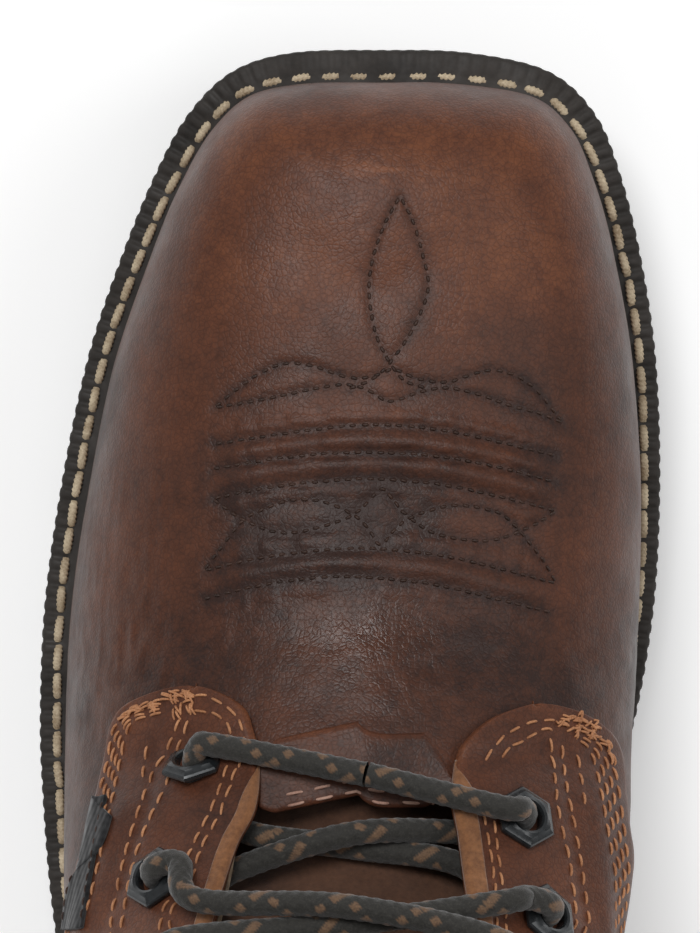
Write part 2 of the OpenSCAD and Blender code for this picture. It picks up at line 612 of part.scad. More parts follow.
module lace_medial() { color(LACE) tube(curve(half_lace(1), 2), lace_d / 2); }

module lace_knot() {
    color(LACE) translate(KNOT) scale([1.3, 0.9, 0.9]) sphere(r = 6, $fn = 32);
}

// Routes from the knot: a hanging loop and a free end on each side
LOOP_LATERAL = [[-8, -36, 234], [-14, -33, 238], [-27, -30, 234], [-38, -27, 222],
    [-43, -27, 207], [-41, -29, 195], [-34, -29, 191], [-27, -28, 198], [-21, -28, 212],
    [-14, -29, 225], [-8, -35, 232]];
LOOP_MEDIAL = [[-2, -36, 234], [5, -33, 238], [18, -30, 234], [29, -27, 222], [34, -27, 207],
    [32, -29, 195], [25, -29, 191], [18, -28, 198], [12, -28, 212], [6, -29, 225],
    [-1, -35, 232]];
END_LATERAL = [[-7, -34, 229], [-9, -31, 223], [-12, -28, 214], [-15, -27, 202], [-17, -26, 190],
    [-19, -24, 178], [-20, -21, 166], [-21, -17, 155]];
END_MEDIAL = [[-2, -34, 229], [0, -31, 223], [3, -28, 214], [6, -27, 202], [8, -26, 190],
    [10, -24, 178], [12, -21, 166], [14, -16, 155]];
AGLET_LENGTH = 20;

module bow_loop_lateral() { color(LACE) tube(curve(LOOP_LATERAL, 2), lace_d / 2); }
module bow_loop_medial() { color(LACE) tube(curve(LOOP_MEDIAL, 2), lace_d / 2); }
module lace_end_lateral() { color(LACE) tube(curve(END_LATERAL, 2), lace_d / 2); }
module lace_end_medial() { color(LACE) tube(curve(END_MEDIAL, 2), lace_d / 2); }

// Plastic tip that carries on from the last two points of a route
module aglet(route) {
    end = route[len(route) - 1];
    d = unit(end - route[len(route) - 2]);
    color(BLACK) translate(end) rotate([0, acos(d[2]), atan2(d[1], d[0])])
        cylinder(h = AGLET_LENGTH, r = lace_d / 2 - 0.2, $fn = 32);
}
module aglet_lateral() { aglet(END_LATERAL); }
module aglet_medial() { aglet(END_MEDIAL); }

// ---- pull loop ---------------------------------------------------------------------------

LOOP_W = 22;
LOOP_R = 6;            // half the gap between its two legs
LOOP_T = 1.6;
LOOP_AT = [-5, -149.4 * sy, collar_height + 2];
LOOP_LEG = 10;
module pull_loop() {
    color(DARK_LEATHER) translate(LOOP_AT) rotate([90, 0, 90]) translate([0, 0, -LOOP_W / 2]) {
        translate([0, LOOP_LEG]) rotate_extrude(angle = 180, $fn = 64)
            translate([LOOP_R, 0]) square([LOOP_T, LOOP_W]);
        for (x = [-LOOP_R - LOOP_T, LOOP_R]) translate([x, 1.2, 0])
            cube([LOOP_T, LOOP_LEG - 1.2, LOOP_W]);
    }
}
// The loop's ends are sewn to the outside and the inside of the collar
module pull_loop_anchor() {
    off = leather * 2 + 3 * AIR;
    T = [HEEL - 0.7, HEEL, HEEL + 0.7];
    color(DARK_LEATHER) between(
        [for (t = T) [for (v = [0.87, 0.93, 0.99]) skin(t, v, off + leather + 1.4)]],
        [for (t = T) [for (v = [0.87, 0.93, 0.99]) skin(t, v, off + leather)]]);
}

outsole();
heel_block();
heel_top_lift();
midsole();
welt();
welt_stitch();
cork_filler();
shank();
insole_board();
footbed();
heel_cushion();
steel_toe_cap();
toe_cap_gasket();
toe_lining();
vamp();
vamp_lining();
quarter_lateral();
quarter_medial();
eyestay_lateral();
eyestay_medial();
quarter_lining_lateral();
quarter_lining_medial();
heel_counter();
counter_cover();
collar_padding();
collar_band();
side_label();
tongue();
tongue_padding();
eyelets_lateral();
eyelets_medial();
washers_lateral();
washers_medial();
hooks_lateral();
hooks_medial();
lace_lateral();
lace_medial();
lace_knot();
bow_loop_lateral();
bow_loop_medial();
lace_end_lateral();
lace_end_medial();
aglet_lateral();
aglet_medial();
pull_loop();
pull_loop_anchor();
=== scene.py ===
import math

import bpy
import bmesh
import numpy as np
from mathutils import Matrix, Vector
from mathutils.bvhtree import BVHTree


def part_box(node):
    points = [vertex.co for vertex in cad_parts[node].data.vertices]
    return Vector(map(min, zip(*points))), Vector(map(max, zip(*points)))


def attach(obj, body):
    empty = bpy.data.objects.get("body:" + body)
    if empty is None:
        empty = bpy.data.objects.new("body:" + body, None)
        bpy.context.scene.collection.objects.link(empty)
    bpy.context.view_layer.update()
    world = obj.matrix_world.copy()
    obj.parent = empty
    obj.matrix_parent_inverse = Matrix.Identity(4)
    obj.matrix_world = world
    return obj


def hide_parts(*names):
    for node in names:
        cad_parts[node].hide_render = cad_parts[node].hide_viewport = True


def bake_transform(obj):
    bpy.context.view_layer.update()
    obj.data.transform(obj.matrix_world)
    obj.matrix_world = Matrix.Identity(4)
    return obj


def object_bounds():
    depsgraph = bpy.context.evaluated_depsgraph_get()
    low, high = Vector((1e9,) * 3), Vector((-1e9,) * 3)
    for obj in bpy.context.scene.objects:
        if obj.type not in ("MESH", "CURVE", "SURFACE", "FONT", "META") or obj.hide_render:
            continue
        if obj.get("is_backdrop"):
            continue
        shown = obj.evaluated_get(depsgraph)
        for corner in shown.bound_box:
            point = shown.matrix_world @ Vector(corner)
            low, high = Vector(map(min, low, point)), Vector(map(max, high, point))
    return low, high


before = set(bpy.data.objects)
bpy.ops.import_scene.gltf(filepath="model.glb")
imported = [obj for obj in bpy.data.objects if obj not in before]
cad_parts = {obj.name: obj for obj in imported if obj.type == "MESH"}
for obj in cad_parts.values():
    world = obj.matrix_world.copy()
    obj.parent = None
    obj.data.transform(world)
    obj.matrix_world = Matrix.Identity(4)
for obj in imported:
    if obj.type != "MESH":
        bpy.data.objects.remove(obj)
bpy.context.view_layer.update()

# Lengths below are millimetres unless a name ends in _M; MM turns them into metres.
MM = 0.001


# ---- camera, lights, floor -----------------------------------------------------------

def make_camera():
    data = bpy.data.cameras.new("camera")
    data.sensor_fit, data.sensor_width = "HORIZONTAL", 36.0
    data.lens = 267.4
    data.clip_start, data.clip_end = 0.05, 20.0
    cam = bpy.data.objects.new("camera", data)
    cam.location = (0.0, 0.0774, 1.030)
    bpy.context.scene.collection.objects.link(cam)
    bpy.context.scene.camera = cam


def area_light(name, at, to, size, power, colour=(1, 1, 1)):
    data = bpy.data.lights.new(name, "AREA")
    data.shape, data.size, data.energy, data.color = "DISK", size, power, colour
    lamp = bpy.data.objects.new(name, data)
    lamp.location = at
    lamp.rotation_euler = (Vector(to) - Vector(at)).to_track_quat("-Z", "Y").to_euler()
    bpy.context.scene.collection.objects.link(lamp)


def make_studio():
    world = bpy.data.worlds.new("studio")
    bpy.context.scene.world = world
    world.use_nodes = True
    back = world.node_tree.nodes["Background"]
    back.inputs["Color"].default_value = (1, 1, 1, 1)
    back.inputs["Strength"].default_value = 0.30
    area_light("key", (-0.20, 0.55, 1.30), (0, 0.08, 0.06), 0.50, 8.6)
    area_light("fill", (0.70, 0.15, 0.95), (0, 0.05, 0.06), 0.60, 2.2)
    area_light("back", (-0.2, -1.0, 0.9), (0, 0, 0.1), 0.80, 2.6)
    bpy.context.scene.view_settings.view_transform = "Standard"
    me = bpy.data.meshes.new("floor")
    bm = bmesh.new()
    bmesh.ops.create_grid(bm, x_segments=8, y_segments=8, size=3.0)
    bm.to_mesh(me)
    bm.free()
    floor = bpy.data.objects.new("floor", me)
    bpy.context.scene.collection.objects.link(floor)
    m = bpy.data.materials.new("floor")
    m.use_nodes = True
    b = m.node_tree.nodes["Principled BSDF"]
    b.inputs["Base Color"].default_value = (0.95, 0.95, 0.95, 1)
    b.inputs["Roughness"].default_value = 0.9
    b.inputs["Emission Color"].default_value = (1, 1, 1, 1)
    b.inputs["Emission Strength"].default_value = 0.24
    me.materials.append(m)
    floor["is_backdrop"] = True


make_camera()
make_studio()

# ---- the upper's surface, as in the CAD part -------------------------------------------

# Stations, toe to heel: y, x outer, x inner, inset, bulge outer, bulge inner, rise,
# half gap, top y, top z, and the rib's direction at its top (out, down, back)
LAST = np.array([
    [157.0, 6.0, 6.0, 7.0, 1.5, 1.5, 31, 0.0, 119, 76, 22, 0, 0],
    [156.5, -11.0, 22.5, 6.8, 1.5, 1.5, 31, 0.0, 118, 76, 23, 0, 0],
    [153.0, -22.5, 38.0, 6.4, 1.5, 1.5, 31, 0.0, 116, 76, 30, 0, 0],
    [145.0, -31.0, 47.0, 6.2, 1.5, 1.5, 32, 0.0, 113, 76, 34, 0, 0],
    [133.5, -37.5, 52.0, 6.0, 1.5, 1.5, 33, 0.0, 109, 76, 37, 0, 0],
    [118.0, -44.0, 56.0, 6.0, 1.5, 2.0, 34, 0.0, 103, 77, 38, 0, 0],
    [99.0, -50.5, 59.0, 6.0, 2.0, 3.5, 35, 0.0, 91, 78, 39, 0, 0],
    [76.0, -55.5, 60.0, 6.0, 2.0, 6.0, 36, 0.0, 71, 80, 39, 0, 0],
    [52.0, -59.0, 59.0, 6.0, 3.0, 9.5, 34, 0.0, 46, 85, 36, -1, 0],
    [30.0, -60.0, 55.5, 6.2, 4.0, 14.5, 32, 0.0, 22, 94, 38, 0, 0],
    [14.0, -59.5, 50.5, 6.2, 5.0, 19.5, 32, 18.0, 18, 94, 28, -5, 0],
    [-4.0, -58.0, 44.5, 6.0, 6.0, 23.0, 34, 22.5, 0, 106, 27, -11, 3],
    [-24.0, -55.0, 38.5, 5.5, 6.5, 18.0, 40, 24.5, -20, 125, 22, -14, 9],
    [-42.0, -52.0, 35.5, 5.0, 7.0, 12.0, 48, 23.5, -34, 149, 18, -17, 16],
    [-56.0, -49.0, 34.5, 4.6, 7.0, 9.0, 58, 23.0, -42, 178, 16, -19, 22],
    [-68.0, -47.0, 34.0, 4.4, 6.0, 7.0, 66, 23.0, -47, 208, 15, -20, 26],
    [-80.0, -46.0, 34.5, 4.4, 6.0, 6.0, 70, 24.0, -50, 238, 15, -28, 20],
    [-98.0, -45.0, 35.0, 4.4, 5.0, 5.0, 68, 41.0, -72, 235, -2, -62, 0],
    [-118.0, -43.5, 34.5, 4.4, 5.0, 5.0, 64, 46.5, -103, 230, -5, -60, 0],
    [-138.0, -37.0, 28.0, 4.4, 5.0, 5.0, 60, 36.0, -135, 229, -9, -58, 0],
    [-150.8, -22.0, 12.5, 4.4, 6.0, 6.0, 58, 16.0, -147, 232, -12, -58, 0],
    [-156.0, -5.0, -5.0, 4.4, 6.0, 6.0, 58, 0.0, -150, 233, -13, -58, 0],
])
HEEL, ROUND, THROAT = 21, 42, 9


def side_rows(side):
    r = LAST
    return np.stack([r[:, 1] if side < 0 else r[:, 2], r[:, 0], r[:, 3],
                     r[:, 4] if side < 0 else r[:, 5], r[:, 6], side * r[:, 7],
                     r[:, 8], r[:, 9], r[:, 10], r[:, 11], r[:, 12]], 1)


RING = np.concatenate([side_rows(-1), side_rows(1)[HEEL - 1:0:-1]])


def smooth(x):
    c = np.clip(x, 0, 1)
    return c * c * (3 - 2 * c)


def mix(a, b, f):
    return a + (b - a) * f


def unit(p):
    return p / np.maximum(np.linalg.norm(p, axis=-1, keepdims=True), 1e-9)


def station(t):
    w = np.mod(t, ROUND)
    return np.where(w < HEEL, w, ROUND - w)


def side_of(t):
    return np.where(np.mod(t, ROUND) < HEEL, -1.0, 1.0)


def at_side(k, side):
    return k if side < 0 else ROUND - k


def ring(t):
    w = np.mod(np.asarray(t, float), ROUND)
    k = np.floor(w).astype(int)
    f = (w - k)[..., None]
    p, q, r, s = (RING[(k + i) % ROUND] for i in (-1, 0, 1, 2))
    return 0.5 * (2 * q + (r - p) * f + (2 * p - 5 * q + 4 * r - s) * f * f
                  + (3 * q - p - 3 * r + s) * f ** 3)


def edge(t):
    return ring(t)[..., :2]


def outward(t):
    d = edge(t + 0.04) - edge(t - 0.04)
    return unit(np.stack([d[..., 1], -d[..., 0]], -1))


def edge_in(t, inset):
    return edge(t) - outward(t) * np.asarray(inset)[..., None]


def feather(t, inset):
    return edge_in(t, ring(t)[..., 2] + inset)


def spring(y):
    return 12 * (np.maximum(0, y - 55) / 103) ** 2


def platform(y):
    return 26 + spring(y) + 18 * smooth((15 - y) / 100)


def arch(y):
    return spring(y) + (26 + 18 - 4.4 - 7.5 - 6) * smooth((-5 - y) / 75)


def midline(y):
    return mix(mix(-5.0, 1.5, smooth((y + 60) / 90)), 6.0, smooth((y - 25) / 80))


def rib(t, v):
    t, v = np.broadcast_arrays(np.asarray(t, float), np.asarray(v, float))
    r, k, out, side = ring(t), station(t), outward(t), side_of(t)
    b = edge_in(t, r[..., 2])
    gap = np.where(side < 0, np.minimum(0, r[..., 5]), np.maximum(0, r[..., 5]))
    top = np.stack([midline(r[..., 6]) + gap, r[..., 6]], -1)
    sideways = np.stack([side, 0 * side], -1)
    near = unit(mix(b - top, sideways * 40, smooth((k - 3) / 3)[..., None]))
    d = unit(mix(near, out, smooth((k - 10) / 3)[..., None]))
    z = platform(b[..., 1])
    A = np.stack([b[..., 0], b[..., 1], z], -1)
    B = np.stack([b[..., 0] + out[..., 0] * r[..., 3], b[..., 1] + out[..., 1] * r[..., 3], z + r[..., 4]],
        -1)
    C = np.stack([top[..., 0] + d[..., 0] * r[..., 8], top[..., 1] + d[..., 1] * r[..., 8] - r[..., 10],
                  r[..., 7] + r[..., 9]], -1)
    D = np.stack([top[..., 0], top[..., 1], r[..., 7]], -1)
    v = v[..., None]
    u = 1 - v
    return A * u ** 3 + B * 3 * u * u * v + C * 3 * u * v * v + D * v ** 3


def rib_over(t, v):
    o = v > 1
    return rib(np.where(o, ROUND - t, t), np.where(o, 2 - v, v))


def skin_normal(t, v):
    t, v = np.broadcast_arrays(np.asarray(t, float), np.asarray(v, float))
    k, e = station(t), 0.03
    v = np.minimum(v, 1 - 0.2 * smooth((k - 8.6) / 0.4) * smooth((10.6 - k) / 0.6))
    over = (k < THROAT) & (k > 0.25)
    v1 = np.where(over, v + e, np.minimum(1, v + e))
    v2 = np.minimum(v, 0.985)
    return unit(np.cross(rib(t + e, v2) - rib(t - e, v2), rib_over(t, v1) - rib(t, np.maximum(0, v - e))))


def skin(t, v, off):
    t, v, off = np.broadcast_arrays(np.asarray(t, float), np.asarray(v, float), np.asarray(off, float))
    o = v > 1
    t, v = np.where(o, ROUND - t, t), np.where(o, 2 - v, v)
    vv = np.maximum(v, 0)
    p = rib(t, vv) + skin_normal(t, vv) * off[..., None]
    p[..., 2] = np.maximum(p[..., 2], platform(p[..., 1]) + 0.3)
    f = feather(t, -off)
    low = np.stack([f[..., 0], f[..., 1], platform(feather(t, 0 * off)[..., 1]) + v * 100], -1)
    return np.where((v < 0)[..., None], low, p)


def from_top(t, d):
    r = ring(t)
    return 1 - d / (3 * np.linalg.norm(r[..., 8:11], axis=-1))


def steps(a, b, by):
    n = max(1, int(round((b - a) / by)))
    return np.linspace(a, b, n + 1)


def catmull(pts, per):
    """Points along a smooth curve through pts, per for each stretch."""
    p = np.asarray(pts, float)
    q = np.concatenate([p[:1], p, p[-1:]])
    f = (np.arange(per) / per)[:, None]
    out = []
    for i in range(len(p) - 1):
        a, b, c, d = q[i:i + 4]
        out.append(0.5 * (2 * b + (c - a) * f + (2 * a - 5 * b + 4 * c - d) * f * f
                          + (3 * b - a - 3 * c + d) * f ** 3))
    return np.concatenate(out + [p[-1:]])


# ---- numbers for wear and wrinkles -------------------------------------------------------

def noise(p, size, seed=0):
    """Smooth value noise from -1 to 1 at points p, with features about size wide."""
    q = np.asarray(p, float) / size + seed * 19.7
    i = np.floor(q).astype(np.int64)
    f = q - i
    f = f * f * (3 - 2 * f)

    def corner_value(dx, dy, dz):
        n = ((i[..., 0] + dx) * 374761393 + (i[..., 1] + dy) * 668265263
             + (i[..., 2] + dz) * 1442695041 + seed * 974711) & 0xFFFFFFFF
        n = ((n ^ (n >> 13)) * 1274126177) & 0xFFFFFFFF
        return ((n ^ (n >> 16)) & 0xFFFF) / 32767.5 - 1

    def blend_x(dy, dz):
        a, b = corner_value(0, dy, dz), corner_value(1, dy, dz)
        return a + (b - a) * f[..., 0]

    lo = blend_x(0, 0) + (blend_x(1, 0) - blend_x(0, 0)) * f[..., 1]
    hi = blend_x(0, 1) + (blend_x(1, 1) - blend_x(0, 1)) * f[..., 1]
    return lo + (hi - lo) * f[..., 2]


def segment_distance(xy, line):
    """Distance in plan from each point to a polyline."""
    best = np.full(len(xy), 1e9)
    for a, b in zip(line[:-1], line[1:]):
        d = b - a
        u = np.clip(((xy - a) @ d) / max(d @ d, 1e-9), 0, 1)
        best = np.minimum(best, np.hypot(*(xy - a - u[:, None] * d).T))
    return best


# ---- meshes -----------------------------------------------------------------------------

def grid_faces(rows, cols, base=0, close_rows=False, close_cols=False):
    i = np.arange(rows if close_rows else rows - 1)[:, None]
    j = np.arange(cols if close_cols else cols - 1)[None, :]
    i2, j2 = (i + 1) % rows, (j + 1) % cols
    return base + np.stack([i * cols + j, i2 * cols + j, i2 * cols + j2, i * cols + j2], -1).reshape(-1, 4)


def mesh_piece(name, points, faces, material, body="boot", replaces=(), attributes=None,
               weld=False, sharp=None, flip=False):
    """A smooth-shaded object from points in millimetres and quads (a repeated corner makes a triangle)."""
    points = np.asarray(points, float).reshape(-1, 3)
    faces = np.asarray(faces, np.int64)
    if flip:
        faces = faces[:, ::-1]
    me = bpy.data.meshes.new(name)
    me.vertices.add(len(points))
    me.vertices.foreach_set("co", (points * MM).astype(np.float32).ravel())
    me.loops.add(faces.size)
    me.loops.foreach_set("vertex_index", faces.astype(np.int32).ravel())
    me.polygons.add(len(faces))
    me.polygons.foreach_set("loop_start", np.arange(0, faces.size, 4, dtype=np.int32))
    me.update(calc_edges=True)
    for key, values in (attributes or {}).items():
        a = me.attributes.new(key, "FLOAT", "POINT")
        a.data.foreach_set("value", np.asarray(values, np.float32).ravel())
    if weld:
        bm = bmesh.new()
        bm.from_mesh(me)
        bmesh.ops.remove_doubles(bm, verts=bm.verts, dist=2e-6)
        bmesh.ops.dissolve_degenerate(bm, edges=bm.edges, dist=1e-7)
        bm.to_mesh(me)
        bm.free()
    me.validate()
    me.polygons.foreach_set("use_smooth", np.ones(len(me.polygons), bool))
    if sharp is not None:
        me.set_sharp_from_angle(angle=math.radians(sharp))
    me.materials.append(material)
    obj = bpy.data.objects.new(name, me)
    bpy.context.scene.collection.objects.link(obj)
    if body is not None:
        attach(obj, body)
    if replaces:
        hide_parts(*replaces)
    return obj


def closed_sheet(outer, inner):
    """Points and quads of the solid between two grids of the same size."""
    rows, cols = outer.shape[:2]
    n = rows * cols
    top = grid_faces(rows, cols)
    under = grid_faces(rows, cols, n)[:, ::-1]
    ring = np.concatenate([np.arange(cols), np.arange(1, rows) * cols + cols - 1,
                           (rows - 1) * cols + np.arange(cols - 2, -1, -1), np.arange(rows - 2, 0,
                           -1) * cols])
    nxt = np.roll(ring, -1)
    side = np.stack([ring, nxt, nxt + n, ring + n], 1)
    return np.concatenate([outer.reshape(-1, 3), inner.reshape(-1, 3)]), np.concatenate([top, under, side])


def edge_distance(points):
    """For each point of a grid, its distance to the grid's nearest side."""
    along = np.linalg.norm(np.diff(points, axis=0), axis=-1)
    across = np.linalg.norm(np.diff(points, axis=1), axis=-1)
    a = np.concatenate([np.zeros((1, points.shape[1])), np.cumsum(along, 0)])
    b = np.concatenate([np.zeros((points.shape[0], 1)), np.cumsum(across, 1)], 1)
    return np.minimum(np.minimum(a, a[-1:] - a), np.minimum(b, b[:, -1:] - b))


def row_distances(grid):
    """How far each point of a grid is from its row's first point, along the row."""
    far = np.cumsum(np.linalg.norm(np.diff(grid, axis=1), axis=-1), 1)
    return np.concatenate([np.zeros((len(grid), 1)), far], 1)


def spread(points, count=None, by=None, extra=None):
    """Points spaced evenly along a polyline, and their places along it."""
    p = np.asarray(points, float)
    s = np.concatenate([[0], np.cumsum(np.linalg.norm(np.diff(p, axis=0), axis=1))])
    if count is None:
        count = max(2, int(round(s[-1] / by)) + 1)
    at = np.linspace(0, s[-1], count)
    out = [np.stack([np.interp(at, s, p[:, c]) for c in range(p.shape[1])], 1)]
    if extra is not None:
        out.append(np.stack([np.interp(at, s, extra[:, c]) for c in range(extra.shape[1])], 1))
    return (*out, at)


def stitches(path, normals, pitch, length, radius, lift, sides=6, seg=6, twist=0.0, wobble=0.0, seed=1):
    """Points and quads of a row of stitches along a path on a surface."""
    s = np.concatenate([[0], np.cumsum(np.linalg.norm(np.diff(path, axis=0), axis=1))])
    count = max(1, int(s[-1] / pitch))
    rng = np.random.default_rng(seed)
    start = (np.arange(count) + 0.5) * s[-1] / count - length / 2 + rng.normal(0, wobble, count)
    u = np.linspace(0, 1, seg + 1)
    at = start[:, None] + u[None, :] * length * (1 + rng.normal(0, wobble * 0.3, count))[:, None]
    p = np.stack([np.interp(at, s, path[:, c]) for c in range(3)], -1)
    n = unit(np.stack([np.interp(at, s, normals[:, c]) for c in range(3)], -1))
    d = unit(np.gradient(p, axis=1))
    side = unit(np.cross(d, n))
    arc = 1 - np.abs(2 * u - 1) ** 3
    p = p + n * ((lift + radius) * arc - radius)[None, :, None]
    p = p + side * (rng.normal(0, wobble, (count, 1)) * (2 * u - 1)[None, :])[..., None]
    r = radius * (1 - 0.35 * np.abs(2 * u - 1) ** 4)
    a = np.linspace(0, 2 * math.pi, sides, endpoint=False)
    if twist:
        r = r[None, :, None] * (1 + 0.16 * np.cos(3 * (a[None, None, :] - 2 * math.pi * u[None, :,
            None] * length / twist)))
    else:
        r = np.broadcast_to(r[None, :, None], (count, seg + 1, sides))
    ring_pts = p[:, :, None] + (side[:, :, None] * np.cos(a)[None, None, :, None]
                                + n[:, :, None] * np.sin(a)[None, None, :, None]) * r[..., None]
    one = grid_faces(seg + 1, sides, close_cols=True)
    size = (seg + 1) * sides
    faces = one[None] + (np.arange(count) * size)[:, None, None]
    return ring_pts.reshape(-1, 3), faces.reshape(-1, 4)


def joined(parts):
    """One list of points and quads from several."""
    points, faces, base = [], [], 0
    for p, f in parts:
        points.append(p)
        faces.append(np.asarray(f) + base)
        base += len(p)
    return np.concatenate(points), np.concatenate(faces)


def transport(path, first=(0, 0, 1)):
    """Unit tangents, and two directions square to them that don't spin along the path."""
    d = unit(np.gradient(path, axis=0))
    n = np.array(first, float)
    n = n - d[0] * (n @ d[0])
    n /= np.linalg.norm(n)
    ns = [n]
    for i in range(1, len(d)):
        n = ns[-1] - d[i] * (ns[-1] @ d[i])
        ns.append(n / np.linalg.norm(n))
    ns = np.array(ns)
    return d, ns, np.cross(d, ns)


def end_caps(rings, sides):
    base = (rings - 1) * sides
    first = [[0, j + 1, j, 0] for j in range(1, sides - 1)]
    last = [[base, base + j, base + j + 1, base] for j in range(1, sides - 1)]
    return np.array(first + last)


def tube(path, radius, sides=12, first=(0, 0, 1)):
    _, n, b = transport(path, first)
    a = np.linspace(0, 2 * math.pi, sides, endpoint=False)
    r = np.broadcast_to(np.asarray(radius, float).reshape(-1, 1), (len(path), sides))
    p = path[:, None] + (n[:, None] * np.cos(a)[None, :, None] + b[:, None] * np.sin(a)[None, :,
        None]) * r[..., None]
    f = grid_faces(len(path), sides, close_cols=True)
    return p.reshape(-1, 3), np.concatenate([f, end_caps(len(path), sides)])


class Surface:
    """Looks straight down on a piece: the point and direction of its top at a place in plan."""

    def __init__(self, points, faces):
        self.tree = BVHTree.FromPolygons([tuple(p) for p in points],
            [tuple(dict.fromkeys(f)) for f in faces.tolist()])

    def at(self, xy):
        ps, ns = [], []
        for x, y in xy:
            hit = self.tree.ray_cast(Vector((x, y, 400)), Vector((0, 0, -1)))
            if hit[0] is None:
                hit = self.tree.find_nearest(Vector((x, y, 90)))
            ps.append(hit[0])
            ns.append(hit[1] if hit[1].z > 0 else -hit[1])
        return np.array(ps, float), np.array(ns, float)


# ---- materials ----------------------------------------------------------------------------

class Nodes:
    """Short forms for building a material's node tree."""

    def __init__(self, name):
        self.material = bpy.data.materials.new(name)
        self.material.use_nodes = True
        self.tree = self.material.node_tree
        self.shader = self.tree.nodes["Principled BSDF"]
        self.place = self.tree.nodes.new("ShaderNodeTexCoord").outputs["Object"]

    def node(self, kind, **settings):
        n = self.tree.nodes.new(kind)
        for key, value in settings.items():
            setattr(n, key, value)
        return n

    def link(self, a, b):
        self.tree.links.new(a, b)

    def stretched(self, scale):
        m = self.node("ShaderNodeMapping")
        m.inputs["Scale"].default_value = scale
        self.link(self.place, m.inputs["Vector"])
        return m.outputs["Vector"]

    def noise(self, scale, detail=4.0, rough=0.55, vector=None, distortion=0.0):
        n = self.node("ShaderNodeTexNoise")
        n.inputs["Scale"].default_value = scale
        n.inputs["Detail"].default_value = detail
        n.inputs["Roughness"].default_value = rough
        n.inputs["Distortion"].default_value = distortion
        self.link(vector or self.place, n.inputs["Vector"])
        return n.outputs["Fac"]

    def cells(self, scale, feature="F1", vector=None, randomness=1.0):
        n = self.node("ShaderNodeTexVoronoi", feature=feature)
        n.inputs["Scale"].default_value = scale
        n.inputs["Randomness"].default_value = randomness
        self.link(vector or self.place, n.inputs["Vector"])
        return n.outputs["Distance"]

    def attribute(self, name):
        return self.node("ShaderNodeAttribute", attribute_name=name).outputs["Fac"]

    def math(self, op, a, b=None, clamp=False):
        n = self.node("ShaderNodeMath", operation=op, use_clamp=clamp)
        for i, x in enumerate((a, b)):
            if x is None:
                continue
            if isinstance(x, (int, float)):
                n.inputs[i].default_value = x
            else:
                self.link(x, n.inputs[i])
        return n.outputs["Value"]

    def span(self, x, lo, hi, to_lo=0.0, to_hi=1.0):
        n = self.node("ShaderNodeMapRange")
        for key, v in (("From Min", lo), ("From Max", hi), ("To Min", to_lo), ("To Max", to_hi)):
            n.inputs[key].default_value = v
        self.link(x, n.inputs["Value"])
        return n.outputs["Result"]

    def ramp(self, x, stops):
        n = self.node("ShaderNodeValToRGB")
        r = n.color_ramp
        while len(r.elements) > 1:
            r.elements.remove(r.elements[-1])
        r.elements[0].position, r.elements[0].color = stops[0][0], (*stops[0][1], 1)
        for at, colour in stops[1:]:
            r.elements.new(at).color = (*colour, 1)
        self.link(x, n.inputs["Fac"])
        return n.outputs["Color"]

    def mixed(self, factor, a, b, kind="MIX"):
        n = self.node("ShaderNodeMix", data_type="RGBA", blend_type=kind)
        if isinstance(factor, (int, float)):
            n.inputs["Factor"].default_value = factor
        else:
            self.link(factor, n.inputs["Factor"])
        for key, x in (("A", a), ("B", b)):
            socket = [s for s in n.inputs if s.name == key and s.type == "RGBA"][0]
            if isinstance(x, tuple):
                socket.default_value = (*x, 1)
            else:
                self.link(x, socket)
        return [s for s in n.outputs if s.type == "RGBA"][0]

    def bump(self, height, strength, distance, before=None):
        n = self.node("ShaderNodeBump")
        n.inputs["Strength"].default_value = strength
        n.inputs["Distance"].default_value = distance
        self.link(height, n.inputs["Height"])
        if before is not None:
            self.link(before, n.inputs["Normal"])
        return n.outputs["Normal"]

    def done(self, colour=None, rough=None, normal=None, metal=None, **fixed):
        s = self.shader.inputs
        for key, x in (("Base Color", colour), ("Roughness", rough), ("Normal", normal),
            ("Metallic", metal)):
            if x is None:
                continue
            if isinstance(x, tuple):
                s[key].default_value = (*x, 1)
            elif isinstance(x, (int, float)):
                s[key].default_value = x
            else:
                self.link(x, s[key])
        for key, x in fixed.items():
            s[key.replace("_", " ")].default_value = x
        return self.material


def leather_material(name, dark, middle, light, grain=950.0, shine=0.45, rough_spread=0.16, relief=0.30):
    """Oiled, burnished leather: tone (0 dark, 1 light) is painted on the piece."""
    n = Nodes(name)
    tone = n.attribute("tone")
    cloud = n.span(n.noise(38.0, 5.0, 0.6), 0.3, 0.7, -0.16, 0.16)
    fine = n.span(n.noise(420.0, 4.0, 0.65), 0.3, 0.7, -0.10, 0.10)
    speck = n.span(n.noise(1700.0, 2.0, 0.5), 0.35, 0.65, -0.05, 0.05)
    value = n.math("ADD", n.math("ADD", tone, cloud), n.math("ADD", fine, speck), clamp=True)
    colour = n.ramp(value, [(0.0, dark), (0.45, middle), (1.0, light)])
    pits = n.span(n.cells(grain, "DISTANCE_TO_EDGE"), 0.0, 0.22)
    colour = n.mixed(n.span(pits, 0.0, 0.5, 0.30, 0.0), colour, tuple(c * 0.35 for c in dark))
    wear = n.span(n.noise(90.0, 6.0, 0.7), 0.35, 0.7, shine - rough_spread / 2, shine + rough_spread / 2)
    rough = n.math("SUBTRACT", wear, n.math("MULTIPLY", n.attribute("gloss"), 0.17))
    height = n.math("ADD", n.math("MULTIPLY", pits, 0.6), n.noise(2600.0, 3.0, 0.6))
    soft = n.bump(n.noise(170.0, 5.0, 0.62), 0.35, 0.0006)
    return n.done(colour, rough, n.bump(height, relief, 0.00018, soft), Specular_IOR_Level=0.24)


